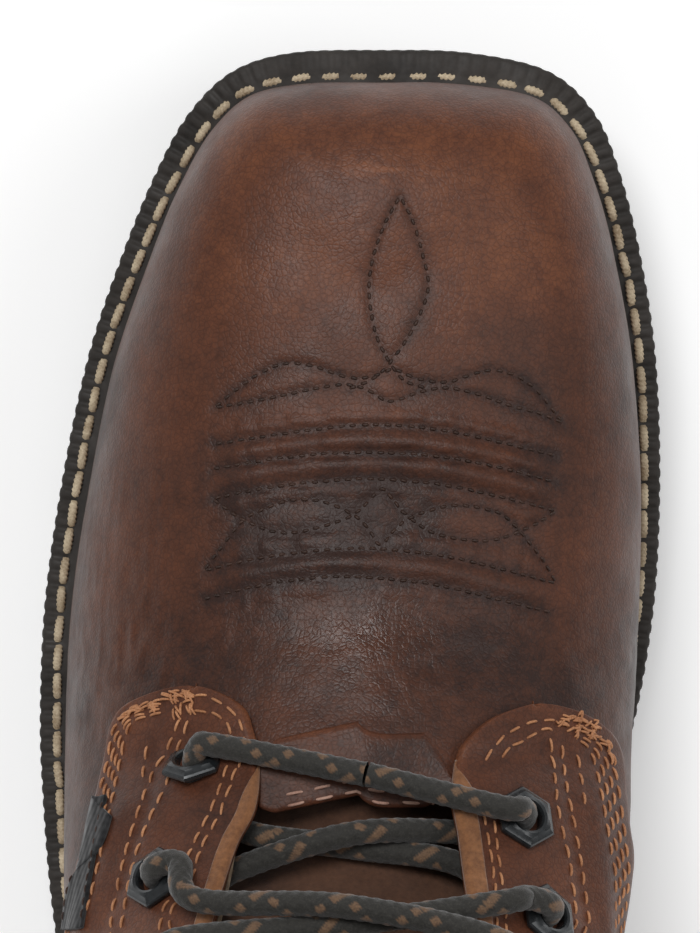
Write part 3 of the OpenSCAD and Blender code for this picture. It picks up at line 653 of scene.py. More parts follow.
def nubuck_material(name, dark, light):
    n = Nodes(name)
    value = n.math("ADD", n.span(n.noise(60.0, 6.0, 0.65), 0.3, 0.7, 0.0, 0.6),
                   n.span(n.noise(900.0, 5.0, 0.7), 0.3, 0.7, 0.0, 0.4), clamp=True)
    colour = n.ramp(value, [(0.15, dark), (0.85, light)])
    nap = n.math("ADD", n.noise(2400.0, 5.0, 0.7), n.math("MULTIPLY", n.noise(500.0, 3.0), 0.7))
    return n.done(colour, n.span(n.noise(200.0), 0.3, 0.7, 0.78, 0.95), n.bump(nap, 0.45, 0.0003),
                  Specular_IOR_Level=0.25, Sheen_Weight=0.35, Sheen_Roughness=0.5)


def thread_material(name, dark, light, rough=0.6, scale=3200.0):
    n = Nodes(name)
    value = n.math("ADD", n.span(n.noise(240.0, 3.0), 0.3, 0.7, 0.0, 0.55),
                   n.span(n.noise(scale, 3.0, 0.6), 0.3, 0.7, 0.0, 0.45), clamp=True)
    return n.done(n.ramp(value, [(0.1, dark), (0.9, light)]), rough, n.bump(n.noise(scale, 3.0), 0.5,
        0.0002),
                  Specular_IOR_Level=0.35)


def rubber_material(name, dark, light, scale=700.0, rough=(0.55, 0.78)):
    n = Nodes(name)
    value = n.math("ADD", n.span(n.noise(70.0, 5.0), 0.3, 0.7, 0.0, 0.6),
                   n.span(n.noise(scale, 5.0, 0.7), 0.3, 0.7, 0.0, 0.4), clamp=True)
    return n.done(n.ramp(value, [(0.1, dark), (0.9, light)]), n.span(n.noise(150.0), 0.3, 0.7, *rough),
                  n.bump(n.noise(scale * 2, 4.0), 0.22, 0.0002), Specular_IOR_Level=0.4)


def woven_material(name, dark, light, pitch=0.0011, rough=0.9, nap=0.5):
    """Cloth woven square, from two crossed waves in the piece's own space."""
    n = Nodes(name)
    size = 1.0 / pitch

    def wave(axis):
        w = n.node("ShaderNodeTexWave", wave_type="BANDS", bands_direction=axis, wave_profile="SIN")
        w.inputs["Scale"].default_value = size / 20 * math.pi
        w.inputs["Distortion"].default_value = 0.6
        w.inputs["Detail"].default_value = 1.0
        n.link(n.place, w.inputs["Vector"])
        return w.outputs["Fac"]

    weave = n.math("ADD", n.math("MULTIPLY", wave("X"), 0.35),
                   n.math("ADD", n.math("MULTIPLY", wave("Y"), 0.35), n.math("MULTIPLY", wave("Z"), 0.35)))
    value = n.math("ADD", n.math("MULTIPLY", weave, 0.7), n.span(n.noise(120.0, 5.0), 0.3, 0.7, -0.2, 0.25),
        clamp=True)
    height = n.math("ADD", weave, n.math("MULTIPLY", n.noise(2500.0, 4.0, 0.7), nap))
    return n.done(n.ramp(value, [(0.1, dark), (0.9, light)]), rough, n.bump(height, 0.5, 0.0003),
                  Specular_IOR_Level=0.2, Sheen_Weight=0.25)


def foam_material(name, dark, light):
    n = Nodes(name)
    cell = n.cells(1400.0)
    value = n.math("ADD", n.span(cell, 0.0, 0.8, 0.2, 0.7), n.span(n.noise(90.0), 0.3, 0.7, -0.1, 0.25),
        clamp=True)
    return n.done(n.ramp(value, [(0.1, dark), (0.9, light)]), 0.95, n.bump(cell, 0.6, 0.0003),
        Specular_IOR_Level=0.2)


def cork_material():
    n = Nodes("cork")
    grain = n.node("ShaderNodeTexVoronoi", feature="F1")
    grain.inputs["Scale"].default_value = 420.0
    n.link(n.place, grain.inputs["Vector"])
    one = n.node("ShaderNodeSeparateColor")
    n.link(grain.outputs["Color"], one.inputs["Color"])
    colour = n.ramp(one.outputs["Red"], [(0.0, (0.10, 0.05, 0.02)), (0.3, (0.30, 0.17, 0.08)),
        (1.0, (0.46, 0.29, 0.14))])
    return n.done(colour, 0.85, n.bump(n.noise(900.0, 5.0), 0.5, 0.0004))


def steel_material():
    n = Nodes("plain_steel")
    brushed = n.noise(90.0, 4.0, 0.6, n.stretched((1.0, 14.0, 14.0)))
    colour = n.ramp(brushed, [(0.2, (0.33, 0.34, 0.35)), (0.8, (0.52, 0.53, 0.54))])
    return n.done(colour, n.span(brushed, 0.3, 0.7, 0.28, 0.44), n.bump(brushed, 0.08, 0.0002), metal=1.0)


def black_metal_material():
    n = Nodes("black_eyelet_metal")
    worn = n.noise(700.0, 5.0, 0.6)
    colour = n.ramp(worn, [(0.3, (0.016, 0.018, 0.020)), (0.75, (0.030, 0.034, 0.037))])
    return n.done(colour, n.span(worn, 0.3, 0.7, 0.22, 0.36), n.bump(n.noise(300.0, 3.0), 0.06, 0.0003),
                  metal=0.35, Specular_IOR_Level=0.6, Coat_Weight=0.25, Coat_Roughness=0.2)


def plastic_material(name, dark, light, rough=0.35):
    n = Nodes(name)
    grain = n.noise(1200.0, 4.0, 0.6)
    return n.done(n.ramp(grain, [(0.3, dark), (0.7, light)]), n.span(n.noise(200.0), 0.3, 0.7, rough - 0.06,
        rough + 0.08),
                  n.bump(grain, 0.1, 0.0001))


def lace_material():
    """Charcoal braid with a line of tan checks: check is painted on the piece."""
    n = Nodes("braided_lace")
    dust = n.span(n.noise(2600.0, 4.0, 0.65), 0.3, 0.7)
    plain = n.ramp(dust, [(0.0, (0.012, 0.011, 0.009)), (0.6, (0.028, 0.026, 0.022)),
        (1.0, (0.050, 0.047, 0.041))])
    tan = n.ramp(dust, [(0.0, (0.085, 0.045, 0.024)), (1.0, (0.20, 0.118, 0.066))])
    colour = n.mixed(n.attribute("check"), plain, tan)
    return n.done(colour, n.span(dust, 0.0, 1.0, 0.6, 0.85), n.bump(n.noise(3800.0, 3.0, 0.6), 0.5,
        0.00025),
                  Specular_IOR_Level=0.35, Sheen_Weight=0.3)


LEATHER = leather_material("oiled_leather", (0.036, 0.0175, 0.0135), (0.118, 0.0415, 0.0215), (0.262, 0.092,
    0.037))
DARK_LEATHER = leather_material("dark_leather", (0.028, 0.016, 0.012), (0.070, 0.032, 0.020), (0.140, 0.062,
    0.034), shine=0.5)
RAW_EDGE = nubuck_material("raw_leather_edge", (0.11, 0.042, 0.018), (0.34, 0.15, 0.060))
NUBUCK = nubuck_material("brown_nubuck", (0.048, 0.021, 0.012), (0.115, 0.052, 0.028))
COPPER_THREAD = thread_material("copper_thread", (0.24, 0.085, 0.032), (0.62, 0.30, 0.145))
PINK_THREAD = thread_material("pale_thread", (0.30, 0.15, 0.11), (0.62, 0.40, 0.31))
DARK_THREAD = thread_material("dark_thread", (0.020, 0.010, 0.007), (0.062, 0.029, 0.019), rough=0.5)
CORD = thread_material("waxed_cord", (0.30, 0.215, 0.130), (0.74, 0.62, 0.44), scale=2400.0)
RUBBER = rubber_material("sole_rubber", (0.016, 0.0135, 0.0115), (0.046, 0.039, 0.034))
HEEL_RUBBER = rubber_material("heel_rubber", (0.020, 0.016, 0.013), (0.050, 0.040, 0.033))
MIDSOLE = rubber_material("midsole_rubber", (0.034, 0.029, 0.025), (0.078, 0.068, 0.058), scale=500.0)
GASKET = rubber_material("gasket_rubber", (0.010, 0.010, 0.010), (0.024, 0.024, 0.024))
LINING = woven_material("brushed_lining", (0.17, 0.115, 0.070), (0.42, 0.31, 0.20))
LABEL = woven_material("plain_black_tag", (0.010, 0.010, 0.011), (0.038, 0.038, 0.040), pitch=0.0007,
    nap=0.2)
BOARD = woven_material("fibre_board", (0.30, 0.21, 0.12), (0.50, 0.38, 0.24), pitch=0.002, nap=0.8)
BED_CLOTH = woven_material("footbed_cloth", (0.040, 0.036, 0.030), (0.125, 0.112, 0.095), pitch=0.0015)
CUSHION = foam_material("heel_gel_foam", (0.13, 0.10, 0.07), (0.30, 0.24, 0.17))
STIFFENER = plastic_material("counter_board", (0.20, 0.16, 0.11), (0.34, 0.28, 0.20), 0.6)
CORK = cork_material()
STEEL = steel_material()
BLACK_METAL = black_metal_material()
TIP_PLASTIC = plastic_material("tip_plastic", (0.010, 0.010, 0.011), (0.024, 0.023, 0.022), 0.28)
BRAID = lace_material()

for node, material in {
    "cork_filler": CORK, "shank": STEEL, "insole_board": BOARD, "steel_toe_cap": STEEL,
    "toe_cap_gasket": GASKET,
    "toe_lining": LINING, "vamp_lining": LINING, "heel_counter": STIFFENER, "washers_lateral": STEEL,
    "washers_medial": STEEL, "hooks_lateral": BLACK_METAL, "hooks_medial": BLACK_METAL,
}.items():
    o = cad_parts[node]
    o.data.materials.clear()
    o.data.materials.append(material)


# ---- decorative stitching on the toe, in plan -------------------------------------------

TOE_STITCHES = {
    "teardrop_left": [(9.2, 127), (6.4, 122), (4.3, 116), (3.5, 110.5), (4, 105), (5.5, 99.7), (9.5, 93.5),
    (14, 91.8)],
    "teardrop_right": [(9.2, 127), (11.7, 122), (13.4, 116), (14.4, 110.5), (12.7, 105), (9.6, 99.5),
    (5, 94), (-0.5, 91.5)],
    "scroll_low": [(-25, 88.2), (-16, 89.7), (-6.7, 91.6), (-0.9, 92.4), (3.1, 91.5), (7.3, 89.3),
    (12.6, 91), (17.9, 91.8),
                   (24, 90.5), (29.7, 88.5), (34.9, 87.2), (39.3, 85.4)],
    "scroll_left": [(-25, 88.2), (-20, 92.2), (-16, 94.8), (-11.9, 96.3), (-6.7, 95.8), (-0.8, 93.8),
    (3.7, 93.8), (7.9, 95.4)],
    "scroll_right": [(7.9, 95.4), (12.7, 93.4), (17.9, 92.9), (22, 94.2), (26, 95.1), (30.2, 94.2),
    (34.3, 91.5), (39.3, 85.4)],
    "arc_a": [(-25, 81.5), (-16.4, 82.8), (-5.3, 84.3), (4.9, 85.1), (16.5, 84.1), (27.4, 81.9),
    (37.9, 79.4)],
    "arc_b": [(-25.4, 76.9), (-14.7, 78.7), (-3.7, 79.8), (4.9, 80), (16.6, 79.2), (27.5, 77.2),
    (37.3, 74.7)],
    "arc_c": [(-25.3, 71.5), (-14.5, 73.6), (-3.7, 74.8), (5, 75.1), (16.6, 74.1), (27.4, 71.9),
    (37.9, 69.3)],
    "arc_d": [(-26.8, 58.3), (-16.5, 60.7), (-5.3, 62.1), (4.4, 62.4), (16.3, 61.2), (27.5, 58.7),
    (37.9, 55.9)],
    "arc_e": [(-27, 53), (-18.3, 55.3), (-7.4, 57), (2.3, 57.2), (14.6, 56), (25.6, 53.5), (37, 50.6)],
    "wave_1": [(-25.3, 71.5), (-22.2, 69.4), (-19.5, 67.6), (-11.8, 65.2), (-1.4, 67.6), (2.9, 70.5),
    (5.7, 73.4), (8.1, 71),
               (10.6, 68.3), (16, 65), (25.3, 63.8), (32.2, 66), (35.7, 67.8), (37.9, 69.3)],
    "wave_2": [(-26.8, 58.3), (-23.4, 62.8), (-19.5, 67.6), (-14.8, 70), (-9.7, 71.4), (-4.4, 70.8),
    (0.7, 68.5), (3.4, 66),
               (5.5, 63), (7.9, 65.6), (10.6, 67.8), (15.4, 69.6), (20.2, 70.3), (26.8, 69.1), (29.7, 67.1),
               (32.1, 64.4),
               (35.5, 60.2), (37.9, 55.9)],
}
TOE_LINES = {k: catmull(v, 5) for k, v in TOE_STITCHES.items()}


def vamp_relief(p, n):
    """How far the vamp's leather stands out of the plain surface, and its tone and gloss; the tone holds
    painted shade and painted highlight as well as the leather's own colour.
    """
    xy = p[:, :2]
    up = smooth((n[:, 2] - 0.25) / 0.3)
    near = np.full(len(p), 1e9)
    lines = {}
    box = (xy[:, 0] > -34) & (xy[:, 0] < 46) & (xy[:, 1] > 44) & (xy[:, 1] < 133) & (n[:, 2] > 0.2)
    for key, line in TOE_LINES.items():
        d = np.full(len(p), 1e9)
        d[box] = segment_distance(xy[box], line)
        lines[key] = d
        near = np.minimum(near, d)
    rise = -0.34 * np.exp(-(near / 0.75) ** 2) * up
    # The leather puffs up between the paired rows, sharp at the roll nearest the toe
    for a, b, high in (("arc_a", "arc_b", 0.75), ("arc_b", "arc_c", 0.85), ("arc_d", "arc_e", 0.95),
        ("arc_c", "wave_1", 0.15)):
        width = lines[a] + lines[b]
        inside = (width < 9.5) & box
        u = np.where(inside, lines[a] / np.maximum(width, 1e-6), 0)
        ends = smooth((xy[:, 0] + 25) / 6) * smooth((38 - xy[:, 0]) / 6)
        puff = np.sin(math.pi * np.clip(u, 0, 1)) ** 1.2
        rise = rise + np.where(inside, high * puff * ends * (1 + 0.3 * noise(p * [1, 3, 1], 9.0, 3)),
            0) * up
    # Creases where the toes bend: fine across the foot, broken up along it
    bend = np.exp(-((xy[:, 1] - 40) / 13.0) ** 2) * smooth((n[:, 2] + 0.1) / 0.5)
    wave = noise(np.stack([p[:, 0] * 0.32, p[:, 1] + 0.06 * p[:, 0], p[:, 2] * 0.5], 1), 3.1, 5)
    wave2 = noise(np.stack([p[:, 0] * 0.55 + 4, p[:, 1] - 0.1 * p[:, 0], p[:, 2] * 0.5], 1), 1.7, 6)
    shine_zone = np.exp(-(((xy[:, 0] - 8) / 15.0) ** 2 + ((xy[:, 1] - 45) / 9.0) ** 2))
    pebble = noise(p, 1.9, 8) * 0.6 + noise(p, 0.95, 9) * 0.4
    left = np.exp(-(((xy[:, 0] + 36) / 17.0) ** 2 + ((xy[:, 1] - 46) / 30.0) ** 2))
    crack = -np.abs(noise(np.stack([p[:, 0] + 0.5 * p[:, 2], p[:, 1] * 0.7, p[:, 2]], 1), 3.4, 12))
    rise = rise + bend * (0.22 * wave + 0.13 * wave2) + shine_zone * 0.17 * pebble
    rise = rise + (left + 0.35 * bend) * 0.24 * np.minimum(crack + 0.22, 0.22)
    rise = rise + 0.12 * noise(p, 21.0, 2) + 0.05 * noise(p, 6.0, 4)
    # Tone: light and orange at the toe, darker and greyer over the instep, and darker where the surface
    # turns from the top down the sides, which is painted shade
    toe = smooth((xy[:, 1] - 92) / 40)
    # side grows as the surface turns away from the top; it darkens the tone there as painted shade
    side = 1 - smooth((n[:, 2] - 0.15) / 0.65)
    mid = smooth((p[:, 2] - 60) / 20) * smooth((100 - xy[:, 1]) / 45)
    tone = 0.38 + 0.10 * toe - 0.16 * side - 0.22 * mid
    tone = tone + 0.09 * noise(p, 17.0, 21) + 0.05 * noise(p, 5.0, 22)
    # Painted highlight: a lighter patch over the middle of the teardrop
    tone = tone + 0.10 * np.exp(-(((xy[:, 0] - 4) / 30) ** 2 + ((xy[:, 1] - 112) / 9) ** 2)) * 0.5
    # Painted shade: darker along the stitch lines and in the troughs beside them, where the leather dips
    tone = tone - 0.18 * np.exp(-(near / 0.9) ** 2) * up - 0.10 * np.exp(-(near / 3.0) ** 2) * up
    tone = tone + 0.08 * smooth(1 - np.abs(xy[:, 0] - 3) / 40) * smooth((34 - xy[:,
        1]) / 12) * smooth((xy[:, 1] - 15) / 8)
    # A lighter patch near the toe's tip: partly a scuff, partly painted highlight
    scuff_and_highlight = np.exp(-(((xy[:, 0] - 6) / 9) ** 2 + ((xy[:, 1] - 131) / 5) ** 2))
    scuff_and_highlight = scuff_and_highlight * smooth(noise(p * [0.35, 1, 1], 1.1, 30) * 1.6)
    tone = tone + 0.28 * scuff_and_highlight
    gloss = 0.35 * toe * 0.4 + 1.35 * shine_zone * (0.6 + 0.5 * noise(p, 2.0, 40)) + 0.25 * bend
    return rise, np.clip(tone, 0, 1), np.clip(gloss, 0, 1.4)


# The quarter's lower front edge on each side: station, distance from the rib's top
QUARTER_EDGE = {
    -1: [(10.0, 29.0), (10.2, 31.0), (10.56, 34.0), (11.0, 37.5), (11.3, 40.0), (12.0, 52.0), (13.0, 82.0),
    (14.0, 150.0), (14.6, 400.0)],
    1: [(10.0, 29.0), (10.2, 31.0), (10.56, 32.5), (11.0, 35.5), (11.3, 38.0), (12.0, 50.0), (13.0, 80.0),
    (14.0, 150.0), (14.6, 400.0)],
}
LOWEST = -0.042


def quarter_low(t):
    """v of the quarter's lower edge at t, 0 where it reaches the welt."""
    k, side = station(t), side_of(t)
    v = np.zeros_like(np.asarray(t, float))
    for s in (-1, 1):
        e = np.array(QUARTER_EDGE[s])
        knots = np.clip(from_top(at_side(e[:, 0], s), e[:, 1]), LOWEST, 1)
        knots[-1] = LOWEST
        v = np.where(side == s, np.interp(k, e[:, 0], knots), v)
    return np.where(k >= 14.6, LOWEST, v)


def make_vamp():
    t = steps(-15.0, 15.0, 0.05)
    c = np.linspace(0, 1, 150)
    k = station(t)
    high = np.where(k <= 9.9, 1.0, np.minimum(1.0, mix(1.0, quarter_low(t) + 0.07,
        smooth((k - 9.9) / 0.35))))
    v = LOWEST + c[None, :] * (high[:, None] - LOWEST)
    tt = np.broadcast_to(t[:, None], v.shape)
    p = skin(tt, v, 0.0)
    n = skin_normal(tt, np.clip(v, 0, 1))
    flat_p, flat_n = p.reshape(-1, 3), n.reshape(-1, 3)
    rise, tone, gloss = vamp_relief(flat_p, flat_n)
    fade = (smooth((v - 0.02) / 0.06) * np.where((k > 9)[:, None] & (v > 0.97), 0.3, 1.0)).ravel()
    tone = np.clip(tone + 0.30 * (1 - smooth((v.ravel() - 0.0) / 0.07)), 0, 1)
    q = flat_p + flat_n * (rise * fade)[:, None]
    # Both sides meet on the ridge: give it one height
    same = (v.ravel() > 0.9999) & (np.repeat(k, len(c)) <= THROAT + 1e-6)
    q[same] = flat_p[same] + [0, 0, 1] * (rise * fade)[same, None]
    faces = grid_faces(len(t), len(c))
    mesh_piece("vamp_leather", q, faces, LEATHER, replaces=["vamp"], weld=True,
                   attributes={"tone": tone, "gloss": gloss})
    return q, faces


class Plan:
    """The upper's surface seen from above on one side, near the throat, at an offset."""

    def __init__(self, side, off, k0=7.6, k1=12.6):
        t = at_side(steps(k0, k1, 0.03), side)
        v = np.linspace(0.25, 1, 200)
        tt, vv = np.meshgrid(t, v, indexing="ij")
        p, n = skin(tt, vv, off).reshape(-1, 3), skin_normal(tt, vv).reshape(-1, 3)
        keep = n[:, 2] > 0.12
        self.p, self.n = p[keep], n[keep]

    def at(self, xy):
        ps, ns = [], []
        for q in np.asarray(xy, float):
            d = self.p[:, :2] - q
            i = np.argmin((d ** 2).sum(1) - 0.002 * self.p[:, 2])
            m = self.n[i]
            dx, dy = q - self.p[i, :2]
            ps.append([q[0], q[1], self.p[i, 2] - (m[0] * dx + m[1] * dy) / max(m[2], 0.35)])
            ns.append(m)
        return np.array(ps), np.array(ns)


def facing_rows(side):
    """Control rows of the facing: from its near edge at the throat to its far edge."""
    front = {
        -1: [((-28.5, 37.7), (-28.6, 37.7)), ((-24.4, 36.9), (-34.5, 36.9)), ((-19.6, 34.3), (-41.3, 34.1)),
        ((-17.8, 30.0), (-44.5, 30.4)),
             ((-16.6, 24.5), (-45.9, 23.6)), ((-17.4, 16.8), (-47.5, 15.9)), ((-20.4, 10.6), (-49.3, 9.4)),
             ((-22.9, 3.5), (-51.1, 2.0))],
        1: [((33.9, 34.5), (34.0, 34.5)), ((29.8, 33.6), (38.6, 33.9)), ((25.0, 31.7), (43.5, 32.2)),
        ((20.9, 28.0), (48.2, 29.0)),
            ((19.1, 24.0), (50.8, 24.6)), ((18.8, 18.2), (51.4, 18.0)), ((19.6, 12.2), (51.9, 11.0)),
            ((20.5, 5.5), (52.4, 3.8))],
    }[side]
    back = {
        -1: [(11.32, -0.8, 42.0), (12.0, 0.0, 40.0), (12.7, 0.0, 37.0), (13.4, 0.0, 34.0),
        (14.2, 0.0, 32.0), (15.0, 0.0, 30.5), (15.9, 0.0, 29.5)],
        1: [(11.28, -3.0, 38.0), (12.0, -2.2, 36.0), (12.7, -1.0, 35.0), (13.4, 0.0, 33.0),
        (14.2, 0.0, 32.0), (15.0, 0.0, 30.5), (15.9, 0.0, 29.5)],
    }[side]
    plan = Plan(side, 3.6)
    f = np.linspace(0, 1, 19)
    rows = [plan.at([mix(np.array(a), np.array(b), x) for x in f])[0] for a, b in front]
    for k, near, far in back:
        t = np.full(len(f), at_side(k, side))
        d = mix(near, far, f)
        v = from_top(t, d)
        p = skin(t, np.minimum(v, 1), 3.6)
        past = rib(t, 1.0) - rib(t, 0.97)
        rows.append(p + unit(past) * np.maximum(-d, 0)[:, None])
    return np.array(rows)


def fine_grid(rows, per, across):
    """A smooth grid through control rows of points."""
    r = np.asarray(rows, float)
    cols = [catmull(r[:, j], per) for j in range(r.shape[1])]
    g = np.stack(cols, 1)
    out = [catmull(row, across) for row in g]
    return np.array(out)


def grid_normals(g):
    n = np.cross(np.gradient(g, axis=0), np.gradient(g, axis=1))
    n = unit(n)
    bad = np.linalg.norm(n, axis=-1) < 0.5
    n[bad] = [0, 0, 1]
    return n


def leather_sheet(name, g, thick, node, round_edge=1.1, material=None, tone=0.45, seed=50,
    edge_tone=0.25,
                  outward_hint=None, extra_relief=None, body="boot"):
    """A leather piece from a grid of its outer face: rounded, worn edges and slightly uneven."""
    n = grid_normals(g)
    hint = np.array([0, 0, 1.0]) if outward_hint is None else outward_hint
    if (n * hint).sum(-1).mean() < 0:
        n = -n
    d = edge_distance(g)
    drop = -0.75 * thick * np.maximum(0, 1 - d / round_edge) ** 2.2
    rough = 0.10 * noise(g, 7.0, seed) + 0.06 * noise(g, 2.6, seed + 1)
    rise = drop + rough * smooth(d / 1.5)
    if extra_relief is not None:
        rise = rise + extra_relief(g, n, d)
    outer = g + n * rise[..., None]
    inner = g - n * thick
    points, faces = closed_sheet(outer, inner)
    tone_map = tone + edge_tone * np.exp(-(d / 1.3) ** 2) + 0.12 * noise(g, 14.0,
        seed + 2) + 0.06 * noise(g, 4.0, seed + 3)
    both = np.concatenate([tone_map.ravel(), tone_map.ravel() + 0.1])
    f = faces[len(faces) // 4]
    face_n = np.cross(points[f[1]] - points[f[0]], points[f[2]] - points[f[0]])
    flip = face_n @ n.reshape(-1, 3)[f[0] % (g.shape[0] * g.shape[1])] < 0
    o = mesh_piece(name, points, faces, material or LEATHER, replaces=[node] if node else (),
        weld=True, flip=flip,
                   attributes={"tone": np.clip(both, 0, 1), "gloss": np.full(len(points), 0.1)}, body=body)
    return o, points, faces, outer


ON_VAMP = Surface(*make_vamp())

FACING = {}
for side, word in ((-1, "lateral"), (1, "medial")):
    g = fine_grid(facing_rows(side), 12, 4)

    def pulled(g, n, d, side=side):
        # The strip between the double row and the outer rows bulges over the seam below it
        u = np.linspace(0, 1, g.shape[1])[None, :]
        k = np.linspace(0, 1, g.shape[0])[:, None]
        return 0.75 * np.exp(-((u - 0.80) / 0.075) ** 2) * smooth((k - 0.30) / 0.12) - 0.3 * np.exp(-((u
            - 0.64) / 0.04) ** 2) * smooth((k - 0.2) / 0.1)

    o, pts, faces, outer = leather_sheet(f"facing_{word}", g, 1.7, f"eyestay_{word}", tone=0.36,
        seed=60 + side,
                                         edge_tone=0.22, extra_relief=pulled)
    FACING[side] = {"outer": outer, "surface": Surface(pts, faces)}


# ---- quarters, linings, heel counter and collar ---------------------------------------------

def upper_grid(t, v, off):
    tt, vv = np.broadcast_arrays(np.asarray(t, float)[:, None], np.asarray(v, float))
    return skin(tt, vv, off)


def outward_of(g):
    """A direction out of the boot for each point of a grid on the shaft."""
    centre = np.stack([np.full(g.shape[:2], -4.0), np.clip(g[..., 1], -110, 90), g[..., 2] - 8], -1)
    return unit(g - centre)


def outward_normals(g):
    n = grid_normals(g)
    return np.where(((n * outward_of(g)).sum(-1) < 0)[..., None], -n, n)


QUARTER = {}
for side, word in ((-1, "lateral"), (1, "medial")):
    k = steps(10.0, 21.0, 0.07)
    t = at_side(k, side)
    low = quarter_low(t)
    c = np.linspace(0, 1, 110)
    v = low[:, None] + c[None, :] * (1 - low[:, None])
    g = upper_grid(t, v, 1.9)

    def shaft_folds(g, n, d):
        y, z = g[..., 1], g[..., 2]
        ankle = np.exp(-((z - 104) / 26) ** 2) * np.exp(-((y + 62) / 55) ** 2)
        fold = noise(np.stack([g[..., 0] * 0.3, y * 0.55 + z * 0.35, z * 1.1], -1), 9.0, 71)
        fine = noise(np.stack([g[..., 0] * 0.4, y * 0.5 + z * 0.4, z], -1), 4.0, 72)
        return (0.75 * ankle * fold + 0.3 * ankle * fine + 0.3 * noise(g, 34.0, 73)) * smooth(d / 8)

    o, pts, faces, outer = leather_sheet(f"quarter_leather_{word}", g, 1.7, f"quarter_{word}",
        tone=0.42, seed=80 + side,
                                         outward_hint=outward_of(g), extra_relief=shaft_folds)
    QUARTER[side] = {"surface": Surface(pts, faces), "grid": outer, "t": t, "v": v}

    k = steps(10.5, 21.0, 0.12)
    t = at_side(k, side)
    v = np.linspace(0, 1, 70)[None, :] * mix(1.0, 0.905, smooth((k - 16.2) / 0.4))[:, None]
    stiff = smooth((k[:, None] - 16) / 1) * smooth((0.44 - v) / 0.12)
    pad = smooth((k[:, None] - 16) / 1) * smooth((v - 0.7) / 0.15)
    off = -0.1 - 1.9 * stiff - 5.0 * pad
    a = upper_grid(t, v, off)
    b = upper_grid(t, v, off - 1.1)
    b = b + unit(b - a) * (0.12 * noise(b, 3.0, 90))[..., None]
    pts, faces = closed_sheet(a, b)
    mesh_piece(f"shaft_lining_{word}", pts, faces, LINING,
        replaces=[f"quarter_lining_{word}"], weld=True, sharp=60)

# Heel counter cover, cut in a curve over the heel
k = steps(17.0, 25.0, 0.06)
top_v = 0.40 - 0.10 * smooth(np.abs(k - 21) / 4.0)
g = upper_grid(k, top_v[:, None] * np.linspace(0, 1, 60)[None, :], 3.9)
o, pts, faces, outer = leather_sheet("counter_cover_leather", g, 1.7, "counter_cover",
    tone=0.40, seed=101,
                                     outward_hint=outward_of(g), material=DARK_LEATHER)
COUNTER_TOP = top_v

# Padded collar: a soft roll over the shaft's top edge from one facing to the other
k = steps(16.4, 25.6, 0.05)
turn = np.linspace(0, 1, 41)
rows = []
for kk in k:
    v_low = 0.885
    s = np.array([v_low, 0.92, 0.96, 0.99, 1.0])
    outer = skin(np.full(5, kk), s, 3.9 + np.array([0.0, 0.5, 0.7, 0.2, -0.6]))
    inner = skin(np.full(5, kk), s[::-1], np.array([-4.0, -5.6, -6.3, -6.0, -5.2]))
    crest = (outer[-1] + inner[0]) / 2 + [0, 0, 2.0]
    line = np.concatenate([outer, crest[None], inner])
    rows.append(catmull(line, 4))
g = np.array(rows)
n = grid_normals(g)
mid = g.mean(axis=1, keepdims=True)
if ((g - mid) * n).sum(-1).mean() < 0:
    n = -n
ends = smooth((k - 16.4) / 0.35) * smooth((25.6 - k) / 0.35)
pinch = -0.9 * np.exp(-(((np.mod(k - 16.4, 1.15) - 0.575) / 0.10) ** 2))[:,
    None] * np.sin(math.pi * np.linspace(0, 1, g.shape[1]))[None, :] ** 0.6
swell = 0.9 * np.sin(math.pi * np.linspace(0, 1, g.shape[1]))[None,
    :] * np.abs(np.sin(math.pi * (k - 16.4) / 1.15))[:, None] ** 0.5
g = g + n * ((pinch + swell) * ends[:, None] + 0.14 * noise(g, 5.0, 111) + 0.08 * noise(g, 2.2, 112))[...,
    None]
pts = g.reshape(-1, 3)
faces = grid_faces(g.shape[0], g.shape[1], close_cols=True)
caps = [[0, j, j + 1, 0] for j in range(1, g.shape[1] - 1)]
last = (g.shape[0] - 1) * g.shape[1]
caps += [[last, last + j + 1, last + j, last] for j in range(1, g.shape[1] - 1)]
tone = 0.42 + 0.12 * noise(pts, 12.0, 113) + 0.2 * smooth((pts[:, 2] - 236) / 6)
collar = mesh_piece("padded_collar", pts, np.concatenate([faces, np.array(caps)]), DARK_LEATHER,
                    replaces=["collar_band", "collar_padding"], attributes={"tone": np.clip(tone, 0, 1),
                    "gloss": np.full(len(pts), 0.1)},
                    flip=True)

# ---- sole --------------------------------------------------------------------------------------

def slab_grid(k, w, inset, z):
    left, right = edge_in(k, np.full(len(k), float(inset))), edge_in(ROUND - k, np.full(len(k),
        float(inset)))
    p = left[:, None] + (right - left)[:, None] * w[None, :, None]
    return np.concatenate([p, z(k[:, None] + 0 * w[None, :], w[None, :] + 0 * k[:, None], p[..., 1])[...,
        None]], -1)


def slab_piece(name, k, w, inset, top, under, material, node, body="boot", sharp=38):
    pts, faces = closed_sheet(slab_grid(k, w, inset, top), slab_grid(k, w, inset, under))
    return mesh_piece(name, pts, faces, material, replaces=[node], sharp=sharp, body=body,
        flip=True)


def groove(k, w):
    """1 in a tread groove and 0 on a bar, with short sloping walls."""
    f = np.mod(k, 1.0)
    across = smooth(f / 0.03) * smooth((0.33 - f) / 0.03)
    along = np.maximum(smooth((w - 0.172) / 0.012) * smooth((0.228 - w) / 0.012),
        smooth((w - 0.772) / 0.012) * smooth((0.828 - w) / 0.012))
    return np.maximum(across, along)


